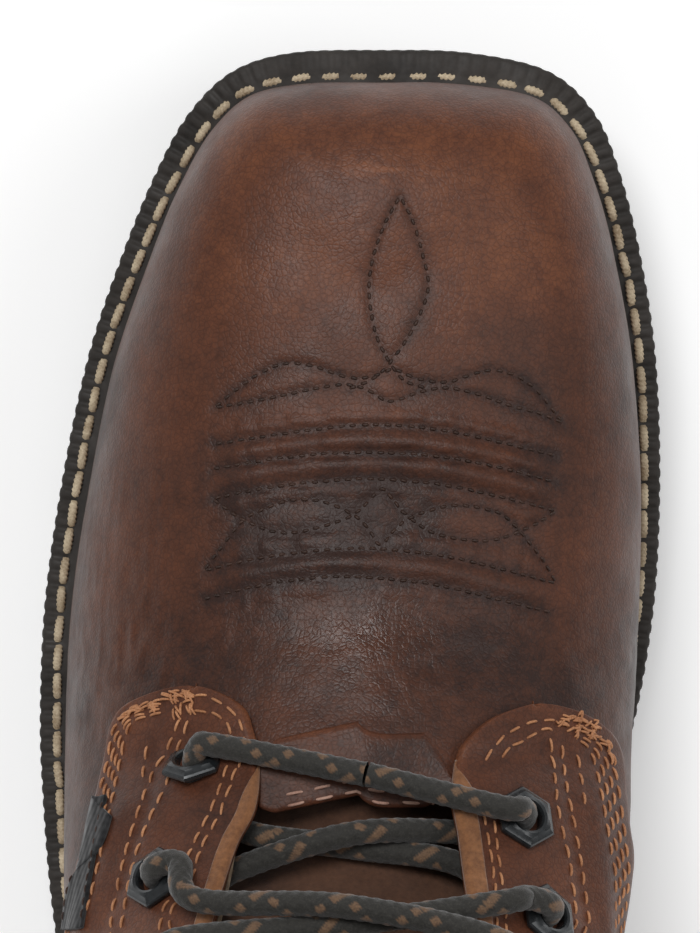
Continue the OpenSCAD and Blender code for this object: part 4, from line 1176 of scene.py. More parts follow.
W_FINE = np.unique(np.concatenate([np.linspace(0, 1, 25), [0.172, 0.178, 0.184, 0.216, 0.222, 0.228, 0.772,
    0.778, 0.784, 0.816, 0.822, 0.828]]))
K_TREAD = np.unique(np.concatenate([steps(0.4, 20.6, 0.1), *[[j, j + 0.015, j + 0.03, j + 0.30, j + 0.315,
    j + 0.33] for j in range(1, 12)]]))
slab_piece("outsole_rubber", K_TREAD, W_FINE, 0.0, lambda k, w, y: platform(y) - 11.9,
           lambda k, w, y: arch(y) + 4.4 * groove(k, w) * (k > 0.99) * (k < 11.99), RUBBER,
           "outsole")
k_heel = np.unique(np.concatenate([steps(16.4, 20.6, 0.1), *[[j, j + 0.015, j + 0.03, j + 0.30, j + 0.315,
    j + 0.33] for j in range(17, 20)]]))
slab_piece("heel_lift_rubber", k_heel, W_FINE, 0.3, lambda k, w, y: 7.9 + 0 * y,
           lambda k, w, y: 3.0 * groove(k, w) * (k > 16.99) * (k < 20.2), RUBBER,
           "heel_top_lift")
slab_piece("heel_stack_block", steps(16.4, 20.6, 0.07), np.linspace(0, 1, 9), 0.6, lambda k, w,
    y: arch(y) - 0.2,
           lambda k, w, y: 8.0 + 0 * y, HEEL_RUBBER, "heel_block")
slab_piece("midsole_layer", steps(0.4, 20.6, 0.07), np.linspace(0, 1, 9), 0.5, lambda k, w,
    y: platform(y) - 4.5,
           lambda k, w, y: platform(y) - 11.8, MIDSOLE, "midsole")

# Footbed: cloth-covered foam, dished at the heel, with a rolled edge
k = steps(1.2, 20.8, 0.08)
w = np.linspace(0, 1, 60)
edge_w = np.minimum(w, 1 - w)[None, :]
ends_k = np.minimum(smooth((k - 1.2) / 0.5), smooth((20.8 - k) / 0.3))[:, None]
top = slab_grid(k, w, 13.0, lambda k, w, y: platform(y) + 5.0)
top[..., 2] += (-1.6 * (1 - smooth(edge_w / 0.07)) - 1.2 * (1 - ends_k)) + 0.35 * noise(top, 24.0,
    121) + 0.10 * noise(top, 5.0, 122) - 0.7 * np.exp(-((w[None, :] - 0.5) / 0.22) ** 2) * smooth((k[:,
    None] - 15) / 3)
under = slab_grid(k, w, 13.4, lambda k, w, y: platform(y) + 1.15)
pts, faces = closed_sheet(top, under)
bed = mesh_piece("footbed_insert", pts, faces, BED_CLOTH, replaces=["footbed"],
    body="footbed", flip=True, sharp=60)
k = steps(16.5, 20.7, 0.08)
top = slab_grid(k, w, 17.0, lambda k, w, y: platform(y) + 7.0)
from_rim = edge_distance(top)
top[..., 2] -= 1.7 * (1 - smooth(from_rim / 3.0)) + 0.5 * np.exp(-((w[None, :] - 0.5) / 0.25) ** 2)
pts, faces = closed_sheet(top, slab_grid(k, w, 17.2, lambda k, w, y: platform(y) + 4.6))
pad = mesh_piece("heel_cushion_pad", pts, faces, CUSHION, replaces=["heel_cushion"],
    body="footbed", flip=True, sharp=60)

# Welt: a strip with ribs pressed across its outer part and down its edge
RIB_PITCH = 2.75
t = steps(0, ROUND, 0.005)[:-1]
ring_xy = edge(t)
along = np.concatenate([[0], np.cumsum(np.hypot(*np.diff(np.concatenate([ring_xy, ring_xy[:1]]),
    axis=0).T))])
ribs = round(along[-1] / RIB_PITCH)
by = along[-1] / (ribs * 8)
at = np.arange(ribs * 8) * by
tt = np.interp(at, along[:-1], t)
outer, out_dir, inner = edge(tt), outward(tt), feather(tt, np.full(len(tt), -0.1))
z = platform(outer[:, 1])
wave = 0.5 + 0.5 * np.tanh(2.2 * np.cos(2 * math.pi * at / (by * 8)) + 0.5)
front = 0.35 + 0.65 * smooth((station(tt) - 1.2) / 2.2)
wear = 0.12 * noise(np.stack([outer[:, 0], outer[:, 1], z], 1), 9.0, 131)
profile = [(0.0, 0.15, 0.0), (0.10, 0.15, 0.0), (0.20, -0.10, 0.0), (0.32, -0.10, 0.05), (0.42, 0.05, 0.5),
    (0.55, 0.05, 1.0), (0.72, 0.0, 1.0),
           (0.86, -0.10, 1.0), (0.96, -0.45, 1.0), (1.0, -1.1, 0.9), (1.0, -2.4, 0.9), (1.0, -3.6, 0.8),
           (0.97, -4.3, 0.4), (0.80, -4.4, 0.0)]
cols = []
for u, dz, rib_share in profile:
    p = inner + (outer - inner) * u
    cut = (1 - wave) * rib_share * front * 0.62
    side_cut = cut * 0.45 if dz < -0.3 else cut * 0.15 * (u > 0.9)
    p = p - out_dir * side_cut[:, None]
    h = z + dz - (cut if dz > -0.3 else cut * 0.35 * (dz > -1.0)) + wear * 0.5
    cols.append(np.concatenate([p, h[:, None]], 1))
g = np.stack(cols, 1)
mesh_piece("ribbed_welt", g.reshape(-1, 3), grid_faces(len(tt), len(profile), close_rows=True), RUBBER,
    replaces=["welt"], flip=True)

# The cord that sews the welt, in a groove beside the upper
k = steps(-16.5, 16.5, 0.02)
path_xy = feather(k, -(1.75 + 1.0 * smooth((station(k) - 3.0) / 3.0)))
path = np.concatenate([path_xy, (platform(path_xy[:, 1]) + 0.28)[:, None]], 1)
pts, faces = stitches(path, np.tile([0, 0, 1.0], (len(path), 1)), 5.6, 5.15, 0.82, 0.30, sides=12, seg=18,
    twist=2.7, wobble=0.09, seed=7)
mesh_piece("welt_cord_stitches", pts, faces, CORD, replaces=["welt_stitch"])

# ---- tongue --------------------------------------------------------------------------------------

TONGUE_FRONT = 8.4


def tongue_row(k, off, sides=7, across=13):
    l, m = at_side(k, -1), at_side(k, 1)
    depth = mix(4.4, 10.8, smooth((k - TONGUE_FRONT) / 0.8))
    reach = mix(0.72, 1.0, smooth((k - TONGUE_FRONT) / 1.6))
    o = off - depth
    up = unit(skin_normal(l, 0.98) + skin_normal(m, 0.98))
    d = np.linspace(13, 0, sides, endpoint=False)
    left = skin(np.full(sides, l), reach - (1 - from_top(np.full(sides, l), d)), o)
    right = skin(np.full(sides, m), reach - (1 - from_top(np.full(sides, m), d)), o)[::-1]
    a, b = skin(l, reach, o), skin(m, reach, o)
    f = np.linspace(0, 1, across)[:, None]
    middle = a + (b - a) * f + up * 3.5 * 4 * f * (1 - f)
    return np.concatenate([left, middle, right]), up


def tongue_centre(k, off):
    row, up = tongue_row(k, 0.0)
    return row[len(row) // 2] + up * off


def tongue_grid(off):
    ks = [TONGUE_FRONT, 9.0, *steps(10, 16, 0.5)]
    rows = [tongue_row(k, off)[0] for k in ks]
    c = len(rows[0]) // 2
    d = unit(rows[-1][c] - rows[-2][c])
    rows += [rows[-1] + d * 10, rows[-1] + d * 20]
    return np.array(rows)


outer = fine_grid(tongue_grid(0.0), 8, 4)
inner = fine_grid(tongue_grid(-5.3), 8, 4)
n = unit(outer - inner)
d = edge_distance(outer)
high = np.linspace(0, 1, outer.shape[0])[:, None]
roll = -2.3 * np.maximum(0, 1 - d / 5.0) ** 2.0
quilt = 0.55 * np.abs(np.sin(math.pi * high * 9)) ** 0.5 * smooth((high - 0.72)
    / 0.06) - 0.3 * smooth((high - 0.72) / 0.06)
sag = 0.5 * noise(outer * [1, 0.7, 0.7], 13.0, 141) + 0.16 * noise(outer, 4.5, 142)
outer = outer + n * ((roll + quilt) * smooth((high - 0.02) / 0.06) + sag * smooth(d / 6))[..., None]
inner = inner + n * (1.6 * np.maximum(0, 1 - d / 5.0) ** 2.0)[..., None]
half = outer - n * 1.5
pts, faces = closed_sheet(outer, half)
tongue = mesh_piece("tongue_nubuck", pts, faces, NUBUCK, body=None,
    replaces=["tongue"], flip=True)
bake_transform(tongue)
pts, faces = closed_sheet(half - n * 0.1, inner)
pad = mesh_piece("tongue_lining_pad", pts, faces, LINING, body=None,
    replaces=["tongue_padding"], flip=True)
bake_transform(pad)

# A band closes the vamp's edge over the tongue, sewn with two pale rows
tl = np.concatenate([steps(10.0, 9.0, 0.02), (ROUND - steps(9.0, 10.0, 0.02))])
rim = skin(tl, np.full(len(tl), 1.0), 0.3)
rim = spread(rim, count=160)[0]
lean = smooth((20 - np.abs(rim[:, 0])) / 7)
width = 1.0 + 3.4 * lean
w = np.linspace(-2.2, 1, 20)
down = np.array([0, -1.0, 0.20])
g = rim[:, None] + (w[None, :, None] * width[:, None, None]) * down
g[..., 2] += 0.55 - 0.9 * np.maximum(0, w[None, :] - 0.55) ** 2 * 4 - 0.5 * np.maximum(0, -w[None, :] - 1.4)
back = g - np.array([0, 0.15, 1.0]) * 1.7
o, pts, faces, outer = leather_sheet("vamp_edge_band", g, 1.5, None, tone=0.16, seed=151,
    round_edge=0.9)
BAND = Surface(pts, faces)


# ---- thread ------------------------------------------------------------------------------------

def sewn(name, rows, material, slot, pitch, length, radius, lift=0.12, wobble=0.05, replaces=(),
    body="boot", **more):
    """Rows of stitches as one piece; a row is (points, normals)."""
    parts = []
    for i, (path, normals) in enumerate(rows):
        path, normals, _ = spread(path, by=0.4, extra=normals)
        parts.append(stitches(path, normals, pitch, length, radius, lift, wobble=wobble, seed=200 + i,
            **more))
    pts, faces = joined(parts)
    return mesh_piece(name, pts, faces, material, body=body, replaces=replaces)


# Pitch, length, radius, lift and unevenness of the copper stitches
COPPER_SEAM = (3.5, 2.75, 0.27, 0.20, 0.12)

rows = []
for line in TOE_LINES.values():
    fine = spread(np.array([[*p, 0] for p in line]), by=0.8)[0][:, :2]
    rows.append(ON_VAMP.at(fine))
sewn("toe_stitching", rows, DARK_THREAD, "lace", 2.05, 1.45, 0.30, 0.10, 0.05)

FACING_SEAMS = {
    -1: {
        "arc_out": [(-31.6, 35.9), (-28.5, 36.0), (-24.9, 35.3), (-20.6, 32.4), (-19.3, 29), (-19.4, 25.5),
        (-20.2, 22.7)],
        "arc_in": [(-29.2, 33.1), (-24.9, 32.7), (-22.3, 31.1), (-21.6, 28.7), (-22.4, 24.4)],
        "pair_out": [(-30.6, 35.3), (-31.1, 31.3), (-33.4, 25.7), (-36.3, 20.6), (-39.9, 10), (-42.5, -1.5),
        (-42.9, -6.2)],
        "pair_in": [(-28.4, 35.1), (-29.4, 31.2), (-31.5, 25.5), (-33.2, 20), (-37, 12), (-39.4, 4.1),
        (-41.0, -5.5)],
        "inner_a": [(-20.4, 23.7), (-23, 16), (-26.7, 9.1), (-28, 4.5), (-31.5, -1.1), (-31.9, -5)],
        "inner_b": [(-22, 24), (-24.5, 16.9), (-28.5, 8.9), (-29.9, 4.7), (-33.2, -1.5), (-33.7, -5)],
        "short": [(-36.9, 27.3), (-37.8, 20.4)],
    },
    1: {
        "arc_out": [(24.4, 23.8), (25.4, 26.2), (27.3, 28.1), (32, 30.8), (37.8, 31.3)],
        "arc_in": [(27.3, 24.2), (28.4, 26.2), (30.6, 27.4), (35.4, 29.7), (37.3, 29.3)],
        "pair_in": [(36.3, 28.8), (37, 22.3), (37.7, 14.8), (39.6, 5.6), (40.6, -4.2)],
        "pair_out": [(38.5, 27.1), (39.2, 19.9), (40.7, 11.9), (41.9, 4.1), (43, -4.5)],
        "inner_a": [(23.2, 18.6), (25, 9.1), (26.1, -0.5)],
        "inner_b": [(25.4, 17.6), (26.5, 7.7), (27.6, -1.4)],
        "short": [(41.4, 25.6), (42.7, 15.6)],
    },
}
OUTER_ROWS = {
    -1: ([(-34.7, 34.7), (-40.5, 32.4), (-43.4, 29.1), (-44.5, 23.3), (-46.3, 16), (-48.5, 7.7),
    (-50.2, -1.2)],
         [(-34.1, 32.6), (-38.8, 31.2), (-40.9, 28.7), (-42.8, 19.5), (-43.6, 15.1), (-45.3, 6.6),
         (-47.2, -1.9)]),
    1: ([(43.2, 29.6), (47.0, 26.2), (48.8, 20.4), (50, 11.8), (51.0, 2.8)],
        [(41.9, 27.6), (44.0, 25.2), (45.3, 20.7), (46.7, 12), (48.2, 3.3)]),
}
BARTACKS = {
    -1: [[(-33.7, 36.4), (-28.6, 36.5)], [(-34.5, 35.3), (-28.2, 35.0)], [(-40.8, 32.6), (-34.2, 34.6)],
    [(-31.8, 36.6), (-31.0, 31.6)],
         [(-42.6, 30.6), (-38.4, 33.4)], [(-29.6, 36.6), (-28.9, 32.2)], [(-36.6, 35.2), (-35.2, 32.0)]],
    1: [[(38.2, 31.9), (43.0, 31.2)], [(41.2, 31.4), (45.9, 28.9)], [(41.9, 29.8), (47.4, 26.2)],
    [(42.6, 32.2), (41.2, 27.4)],
        [(37.4, 31.0), (42.6, 29.0)], [(44.9, 30.4), (43.4, 27.0)], [(46.9, 27.4), (48.2, 22.4)]],
}


def grid_line(grid, across, first=97, last=-2):
    """Points and normals along a facing, at distances across it.

    A distance over 0 is from its near edge, one under 0 from its far edge."""
    g = grid[first:last]
    n = grid_normals(g)
    hint = unit(g - g.mean(axis=(0, 1)) + [0, 0, 30])
    n = np.where(((n * hint).sum(-1) < 0)[..., None], -n, n)
    step = row_distances(g)
    want = across if across >= 0 else step[:, -1] + across
    want = np.broadcast_to(want, (len(g),))
    p = np.array([[np.interp(w, s, r[:, c]) for c in range(3)] for w, s, r in zip(want, step, g)])
    m = np.array([[np.interp(w, s, r[:, c]) for c in range(3)] for w, s, r in zip(want, step, n)])
    return p, unit(m)


rng = np.random.default_rng(77)
for side, word in ((-1, "lateral"), (1, "medial")):
    on, grid = FACING[side]["surface"], FACING[side]["outer"]
    rows, seams = [], FACING_SEAMS[side]
    beyond = {"pair_out": 22.5 if side < 0 else 23.5, "pair_in": 20.0 if side < 0 else 21.0,
        "inner_a": 8.0 if side < 0 else 5.2,
              "inner_b": 10.0 if side < 0 else 7.2}
    for key, line in seams.items():
        p, n = on.at(catmull([[*q, 0] for q in line], 8)[:, :2])
        if key in beyond:
            p2, n2 = grid_line(grid, beyond[key])
            p, n = np.concatenate([p, p2]), np.concatenate([n, n2])
        rows.append((p, n))
    out_line, in_line = (catmull([[*q, 0] for q in line], 8)[:, :2] for line in OUTER_ROWS[side])
    a, b = spread(np.pad(out_line, ((0, 0), (0, 1))), count=90)[0], spread(np.pad(in_line,
        ((0, 0), (0, 1))), count=90)[0]
    for i, f in enumerate((0.0, 0.34, 0.67, 1.0)):
        p, n = on.at(mix(a, b, f)[:, :2])
        p2, n2 = grid_line(grid, -(1.4 + 1.4 * i))
        rows.append((np.concatenate([p, p2]), np.concatenate([n, n2])))
    sewn(f"facing_stitching_{word}", rows, COPPER_THREAD, "lace", *COPPER_SEAM)
    tacks = []
    for line in BARTACKS[side]:
        for i in range(3):
            shift = rng.normal(0, 0.35, 2)
            tacks.append(on.at(spread(np.array([[*np.add(q, shift), 0] for q in line]), count=24)[0][:,
                :2]))
    sewn(f"bartack_stitching_{word}", tacks, COPPER_THREAD, "lace", 2.4, 2.3, 0.25, 0.42, 0.22)
    # The cut strip of bare leather along the throat
    n = grid_normals(grid)
    if (n[20:80, :, 2]).mean() < 0:
        n = -n
    reach = np.linspace(0, 1, 14)
    step = row_distances(grid)
    lo, hi = 46, len(grid) - 3
    wide = (4.3 if side > 0 else 3.2) * smooth((np.arange(lo, hi) - lo) / 14)
    strip, out = [], []
    for i, wd in zip(range(lo, hi), wide):
        want = 0.25 + reach * max(wd, 0.3)
        strip.append(np.stack([np.interp(want, step[i], grid[i, :, c]) for c in range(3)], 1))
        out.append(np.stack([np.interp(want, step[i], n[i, :, c]) for c in range(3)], 1))
    strip, out = np.array(strip), unit(np.array(out))
    top = strip + out * (0.30 + 0.10 * noise(strip, 1.6, 160 + side) * np.sin(math.pi * reach)[None,
        :])[..., None]
    pts, faces = closed_sheet(top, strip - out * 0.25)
    mesh_piece(f"throat_edge_{word}", pts, faces, RAW_EDGE, weld=True)

# Two pale rows on the band, and copper rows on the quarters and the counter
span_x = np.linspace(-12.5, 17.5, 90)
ridge = rim[:, 1][np.argsort(rim[:, 0])]
ridge_x = np.sort(rim[:, 0])
for_rows = []
for down_by in (1.0, 3.0):
    y = np.interp(span_x, ridge_x, ridge) - down_by
    for_rows.append(BAND.at(np.stack([span_x, y], 1)))
sewn("band_stitching", for_rows, PINK_THREAD, "lace", 4.7, 3.4, 0.30, 0.20, 0.08)

for side, word in ((-1, "lateral"), (1, "medial")):
    grid, t = QUARTER[side]["grid"], QUARTER[side]["t"]
    n = outward_normals(grid)
    up = row_distances(grid)
    k = station(t)
    rows = []
    for d in (2.0, 4.4):
        pick = np.where((k > 10.5) & (k < 14.35))[0]
        p = np.array([[np.interp(d, up[i], grid[i, :, c]) for c in range(3)] for i in pick])
        m = np.array([[np.interp(d, up[i], n[i, :, c]) for c in range(3)] for i in pick])
        rows.append((p, unit(m)))
    sewn(f"quarter_stitching_{word}", rows, COPPER_THREAD, "lace", *COPPER_SEAM)
k = steps(17.3, 24.7, 0.05)
rows = []
for d in (2.0, 4.6):
    v = np.interp(k, steps(17.0, 25.0, 0.06), COUNTER_TOP) - d / 130
    p, m = skin(k, v, 4.05), skin_normal(k, v)
    rows.append((p, m))
sewn("counter_stitching", rows, COPPER_THREAD, "lace", *COPPER_SEAM)
k = steps(16.6, 25.4, 0.05)
v = np.full(len(k), 0.872)
sewn("collar_stitching", [(skin(k, v, 3.75), skin_normal(k, v))], COPPER_THREAD, "lace", *COPPER_SEAM)

# A plain woven tag, sewn in beside the outer rows
tag = []
for a, b in (((-44.1, 17.3), (-47.4, 16.4)), ((-45.3, 10.5), (-48.9, 9.4)), ((-46.6, 3.0), (-50.5, 1.6)),
    ((-48.0, -6.0), (-52.0, -7.2))):
    p, m = FACING[-1]["surface"].at([mix(np.array(a), np.array(b), f) for f in np.linspace(0, 1, 5)])
    tag.append(p + m * 0.5)
g = fine_grid(tag, 14, 4)
n = grid_normals(g)
n = -n if n[..., 2].mean() < 0 else n
pts, faces = closed_sheet(g + n * (0.35 + 0.08 * noise(g, 3.0, 170))[..., None], g - n * 0.4)
mesh_piece("plain_side_tag", pts, faces, LABEL, replaces=["side_label"])
sewn("tag_stitching", [(g[3:-3, j] + n[3:-3, j] * 0.4, n[3:-3, j]) for j in (1, -2)], DARK_THREAD, "lace",
    2.2, 1.7, 0.2, 0.12, 0.05)

# ---- eyelets and lace ----------------------------------------------------------------------------

FACE_OUT = 4.0
LACE_D = 4.5
EYELETS = {-1: [(9.55, 21), (10.85, 12.5), (11.6, 12), (12.35, 12), (13.1, 12)],
           1: [(10.34, 8.8), (11.1, 12.3), (11.8, 12), (12.45, 12), (13.1, 12)]}
HOOKS = [(13.9, 12), (14.65, 12), (15.4, 12)]


def on_upper(side, e, off):
    t = at_side(e[0], side)
    return skin(t, from_top(t, e[1]), off)


def eyelet_frame(side, e):
    t = at_side(e[0], side)
    o = on_upper(side, e, 0.0)
    z = skin_normal(t, from_top(t, e[1]))
    g = skin(t, 1.0, 0.0) - o
    x = unit(g - z * (g @ z))
    return o, x, np.cross(z, x), z


def turned(profile, sides, frame_axes, hexagon=0):
    """A ring turned from (radius, height) points; the first `hexagon` of them follow a six-sided outline."""
    o, x, y, z = frame_axes
    a = np.linspace(0, 2 * math.pi, sides, endpoint=False)
    six = 1 / np.maximum(np.cos((a + math.pi / 6) % (math.pi / 3) - math.pi / 6), 0.5)
    pts = []
    for i, (r, h) in enumerate(profile):
        rr = r * (np.minimum(six, 1.145) if i < hexagon else 1.0) * np.ones(sides)
        pts.append(o + x * (rr * np.cos(a))[:, None] + y * (rr * np.sin(a))[:, None] + z * h)
    pts = np.concatenate(pts)
    return pts, grid_faces(len(profile), sides, close_rows=True, close_cols=True)


HEX = [(4.95, FACE_OUT - 0.2), (5.25, FACE_OUT + 0.15), (5.25, FACE_OUT + 0.75), (5.0, FACE_OUT + 1.1),
    (4.5, FACE_OUT + 1.35),
       (4.1, FACE_OUT + 1.75), (3.7, FACE_OUT + 1.95), (3.2, FACE_OUT + 1.8), (2.95, FACE_OUT + 1.3),
       (2.9, FACE_OUT),
       (2.9, -2.6), (3.6, -2.65), (3.6, FACE_OUT - 0.3)]
for side, word in ((-1, "lateral"), (1, "medial")):
    parts = [turned(HEX, 48, eyelet_frame(side, e), hexagon=6) for e in EYELETS[side]]
    pts, faces = joined(parts)
    mesh_piece(f"hex_eyelets_{word}", pts, faces, BLACK_METAL,
        replaces=[f"eyelets_{word}"], sharp=22)

UNDER = -2.1 - LACE_D / 2
OVER = FACE_OUT + 2.5 + LACE_D / 2
ON_FACE = FACE_OUT + LACE_D / 2 + 0.3
LAY = LACE_D + 0.6


def lace_at(side, e, nearer, off, along=0.0):
    k = e[0] + along
    t = at_side(k, side)
    return skin(t, min(1.0, float(from_top(t, e[1] - nearer))), off)


def through(side, e, down):
    p = [lace_at(side, e, 7, OVER - 0.6), lace_at(side, e, 2, OVER - 1), lace_at(side, e, 0, 3),
        lace_at(side, e, 1, UNDER)]
    return p if down else p[::-1]


def crossing(side, k, ends, middle, top):
    return [lace_at(side, (k, 0), 0, ends, -0.15), tongue_centre(k, middle + (LAY if top else 0)),
        lace_at(-side, (k, 0), 0, ends, 0.15)]


def round_edge(side, e):
    a, b = lace_at(side, (e[0], 0), 0, 2.5, -0.15), lace_at(-side, (e[0], 0), 0, 2.5, -0.15)
    return [lace_at(side, (e[0], 0), 0, UNDER - 1, -0.2), mix(a, b, 0.11), lace_at(side, e, 8, ON_FACE + 1,
        -0.15)]


def round_hook(side, e):
    return [lace_at(side, e, 3, OVER - 0.3, -0.2), lace_at(side, e, 0, OVER - 0.3), lace_at(side, e, 3,
        OVER - 0.3, 0.2)]


KNOT_K = 15.75
KNOT = tongue_centre(KNOT_K, 13)


def half_lace(side):
    top = side > 0
    rows = {s: [*EYELETS[s], *HOOKS] for s in (-1, 1)}
    bar = (lace_at(-1, EYELETS[-1][0], 12, OVER) + lace_at(1, EYELETS[1][0], 12, OVER)) / 2
    pts = [bar + [side * 0.2, 0, 0]]
    count, eyes = len(rows[1]), len(EYELETS[1])
    for i in range(count):
        s = side if i % 2 == 0 else -side
        pts += through(s, rows[s][i], i % 2 == 0) if i < eyes else round_hook(s, rows[s][i])
        if i == count - 1:
            break
        k = sum(rows[w][j][0] for w in (-1, 1) for j in (i, i + 1)) / 4
        if i == eyes - 1:
            pts += crossing(s, k - 0.2, UNDER, LACE_D / 2 + 1.2, top) + round_edge(-s, rows[-s][i + 1])
        elif i % 2 == 0 and i < eyes:
            pts += crossing(s, k, UNDER, LACE_D / 2 + 1.2, top)
        else:
            pts += crossing(s, k, ON_FACE + 1, 11.5, top)
    return np.array(pts + [lace_at(-side, (KNOT_K, 0), 0, ON_FACE + 2), KNOT + [side * -6, 0, -2]])


def braid(name, path, replaces=(), radius=LACE_D / 2, body="boot", strands=6, first=(0, 0, 1),
    ends=0.0):
    """A round braid along a path: strands wound both ways, over and under, two of them tan."""
    path = spread(catmull(path, 12), by=0.36)[0]
    sides = strands * 6
    _, n, b = transport(path, first)
    a = np.linspace(0, 1, sides, endpoint=False)[None, :]
    s = (np.arange(len(path)) * 0.36 / (2 * math.pi * radius))[:, None]
    one, two = (a + s) * strands, (a - s) * strands
    ia, ib, fa, fb = np.floor(one), np.floor(two), one % 1, two % 1
    over = ((ia + ib) % 2) == 0
    across, along = np.where(over, fa, fb), np.where(over, fb, fa)
    crown = (4 * across * (1 - across)) ** 0.6 * (0.55 + 0.45 * 4 * along * (1 - along))
    r = radius * (0.90 + 0.115 * crown)
    if ends:
        far = np.minimum(np.arange(len(path)), len(path) - 1 - np.arange(len(path))) * 0.36
        r = r * (1 - ends * (1 - smooth(far / 1.5)))[:, None]
    tan = np.where(over, np.mod(ia, strands) == 0, np.mod(ib, strands) == 3) * (crown > 0.25)
    turn = a * 2 * math.pi
    p = path[:, None] + (n[:, None] * np.cos(turn)[..., None] + b[:, None] * np.sin(turn)[...,
        None]) * r[..., None]
    faces = grid_faces(len(path), sides, close_cols=True)
    return mesh_piece(name, p.reshape(-1, 3), np.concatenate([faces, end_caps(len(path), sides)]), BRAID,
        body=body,
                      replaces=replaces, attributes={"check": tan.ravel().astype(float)}), path


braid("lace_run_lateral", half_lace(-1), replaces=["lace_lateral"])
braid("lace_run_medial", half_lace(1), replaces=["lace_medial"])

# Square knot of the bow: two small turns of lace drawn tight
u = np.linspace(0, 2 * math.pi, 60)
turns = np.stack([np.sin(u) + 1.7 * np.sin(2 * u), 0.9 * np.cos(u) - 1.5 * np.cos(2 * u),
    -1.15 * np.sin(3 * u)], 1) * [1.75, 1.25, 1.5]
braid("bow_knot", KNOT + turns[:-1], replaces=["lace_knot"], radius=2.0)

LOOPS = {
    "lateral": [(-8, -36, 234), (-14, -33, 238), (-27, -30, 234), (-38, -27, 222), (-43, -27, 207),
    (-41, -29, 195), (-34, -29, 191),
                (-27, -28, 198), (-21, -28, 212), (-14, -29, 225), (-8, -35, 232)],
    "medial": [(-2, -36, 234), (5, -33, 238), (18, -30, 234), (29, -27, 222), (34, -27, 207),
    (32, -29, 195), (25, -29, 191),
               (18, -28, 198), (12, -28, 212), (6, -29, 225), (-1, -35, 232)],
}
ENDS = {
    "lateral": [(-7, -34, 229), (-9, -31, 223), (-12, -28, 214), (-15, -27, 202), (-17, -26, 190),
    (-19, -24, 178), (-20, -21, 166),
                (-21, -17, 155)],
    "medial": [(-2, -34, 229), (0, -31, 223), (3, -28, 214), (6, -27, 202), (8, -26, 190), (10, -24, 178),
    (12, -21, 166),
               (14, -16, 155)],
}
for word in ("lateral", "medial"):
    braid(f"bow_loop_braid_{word}", np.array(LOOPS[word], float), replaces=[f"bow_loop_{word}"])
    route = np.array(ENDS[word], float)
    end, line = braid(f"lace_end_braid_{word}", route, replaces=[f"lace_end_{word}"])
    d = unit(route[-1] - route[-2])
    tip_path = route[-1] + d * np.linspace(-1.0, 20, 40)[:, None]
    s = np.linspace(-1.0, 20, 40)
    r = 2.22 - 0.35 * smooth((s - 12) / 8) - 0.12 * (np.abs(np.mod(s,
        6.5) - 3.2) < 0.5) * (s > 1) - 0.5 * (s > 19.4)
    pts, faces = tube(tip_path, r, 24)
    tip = mesh_piece(f"aglet_tip_{word}", pts, faces, TIP_PLASTIC, replaces=[f"aglet_{word}"],
        sharp=40)

# ---- pull loop -----------------------------------------------------------------------------------

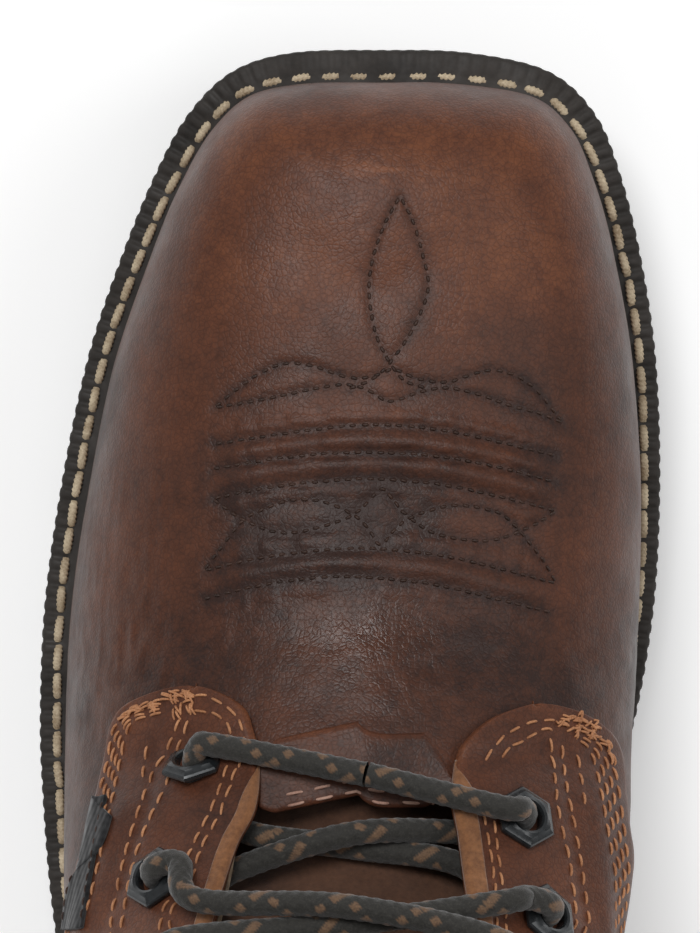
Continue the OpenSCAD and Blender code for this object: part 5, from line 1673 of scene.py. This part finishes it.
AT = np.array([-5.0, -149.4, 232.0 + 2.0])
AT[2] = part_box("pull_loop")[0][2] / MM - 1.2
u = np.linspace(0, 1, 60)
legs = 10.0
path = [(-6.8, 1.2), (-6.9, 5.0), (-6.8, legs)]
arc_pts = [(-6.8 * math.cos(f), legs + 6.8 * math.sin(f)) for f in np.linspace(0.15, math.pi - 0.15, 14)]
line = catmull([(*p, 0.0) for p in path + arc_pts + [(6.8, legs), (6.9, 5.0), (6.8, 1.2)]], 4)
width = np.linspace(-11, 11, 25)
d = unit(np.gradient(line, axis=0))
out = np.stack([-d[:, 1], d[:, 0], np.zeros(len(d))], 1)
edge_w = 11 - np.abs(width)
rows_o, rows_i = [], []
for j, w in enumerate(width):
    half = 0.78 - 0.45 * max(0.0, 1 - edge_w[j] / 1.0) ** 2
    a, b = line + out * half, line - out * half
    rows_o.append(np.stack([np.full(len(line), w), a[:, 0], a[:, 1]], 1))
    rows_i.append(np.stack([np.full(len(line), w), b[:, 0], b[:, 1]], 1))
o_grid, i_grid = np.stack(rows_o, 1) + AT, np.stack(rows_i, 1) + AT
o_grid = o_grid + 0.10 * noise(o_grid, 5.0, 181)[..., None] * np.array([0, 1, 1])
pts, faces = closed_sheet(o_grid, i_grid)
tone = np.clip(0.45 + 0.15 * noise(pts, 8.0, 182), 0, 1)
mesh_piece("pull_loop_strap", pts, faces, DARK_LEATHER, body="pull_loop",
    replaces=["pull_loop"],
           attributes={"tone": tone, "gloss": np.full(len(pts), 0.1)})
sewn("pull_loop_stitching", [(line[3:-3] @ np.array([[0, 1, 0], [0, 0, 1], [0, 0, 0]]) + [x, 0, 0] + AT,
                             np.stack([np.zeros(len(line) - 6), out[3:-3, 0], out[3:-3, 1]],
                             1)) for x in (-9, 9)],
     COPPER_THREAD, "lace", 3.2, 2.4, 0.25, 1.0, 0.05, body="pull_loop")
k = steps(20.3, 21.7, 0.05)
v = np.linspace(0.87, 0.99, 30)
g = upper_grid(k, v[None, :] + 0 * k[:, None], 7.4)
o, pts, faces, outer = leather_sheet("pull_loop_patch", g, 1.6, "pull_loop_anchor",
    tone=0.42, seed=190,
                                     outward_hint=outward_of(g), material=DARK_LEATHER)
n = outward_normals(outer)
box_rows = []
for a, b in (((3, 3), (3, -4)), ((3, -4), (-4, -4)), ((-4, -4), (-4, 3)), ((-4, 3), (3, 3)),
    ((3, 3), (-4, -4)), ((3, -4), (-4, 3))):
    i = np.linspace(a[0] % len(outer), b[0] % len(outer), 30).astype(int)
    j = np.linspace(a[1] % outer.shape[1], b[1] % outer.shape[1], 30).astype(int)
    box_rows.append((outer[i, j], n[i, j]))
sewn("pull_loop_box_stitching", box_rows, COPPER_THREAD, "lace", 3.0, 2.3, 0.25, 0.2, 0.05)

# ---- bounds of the shown objects ------------------------------------------------------------------

low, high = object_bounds()
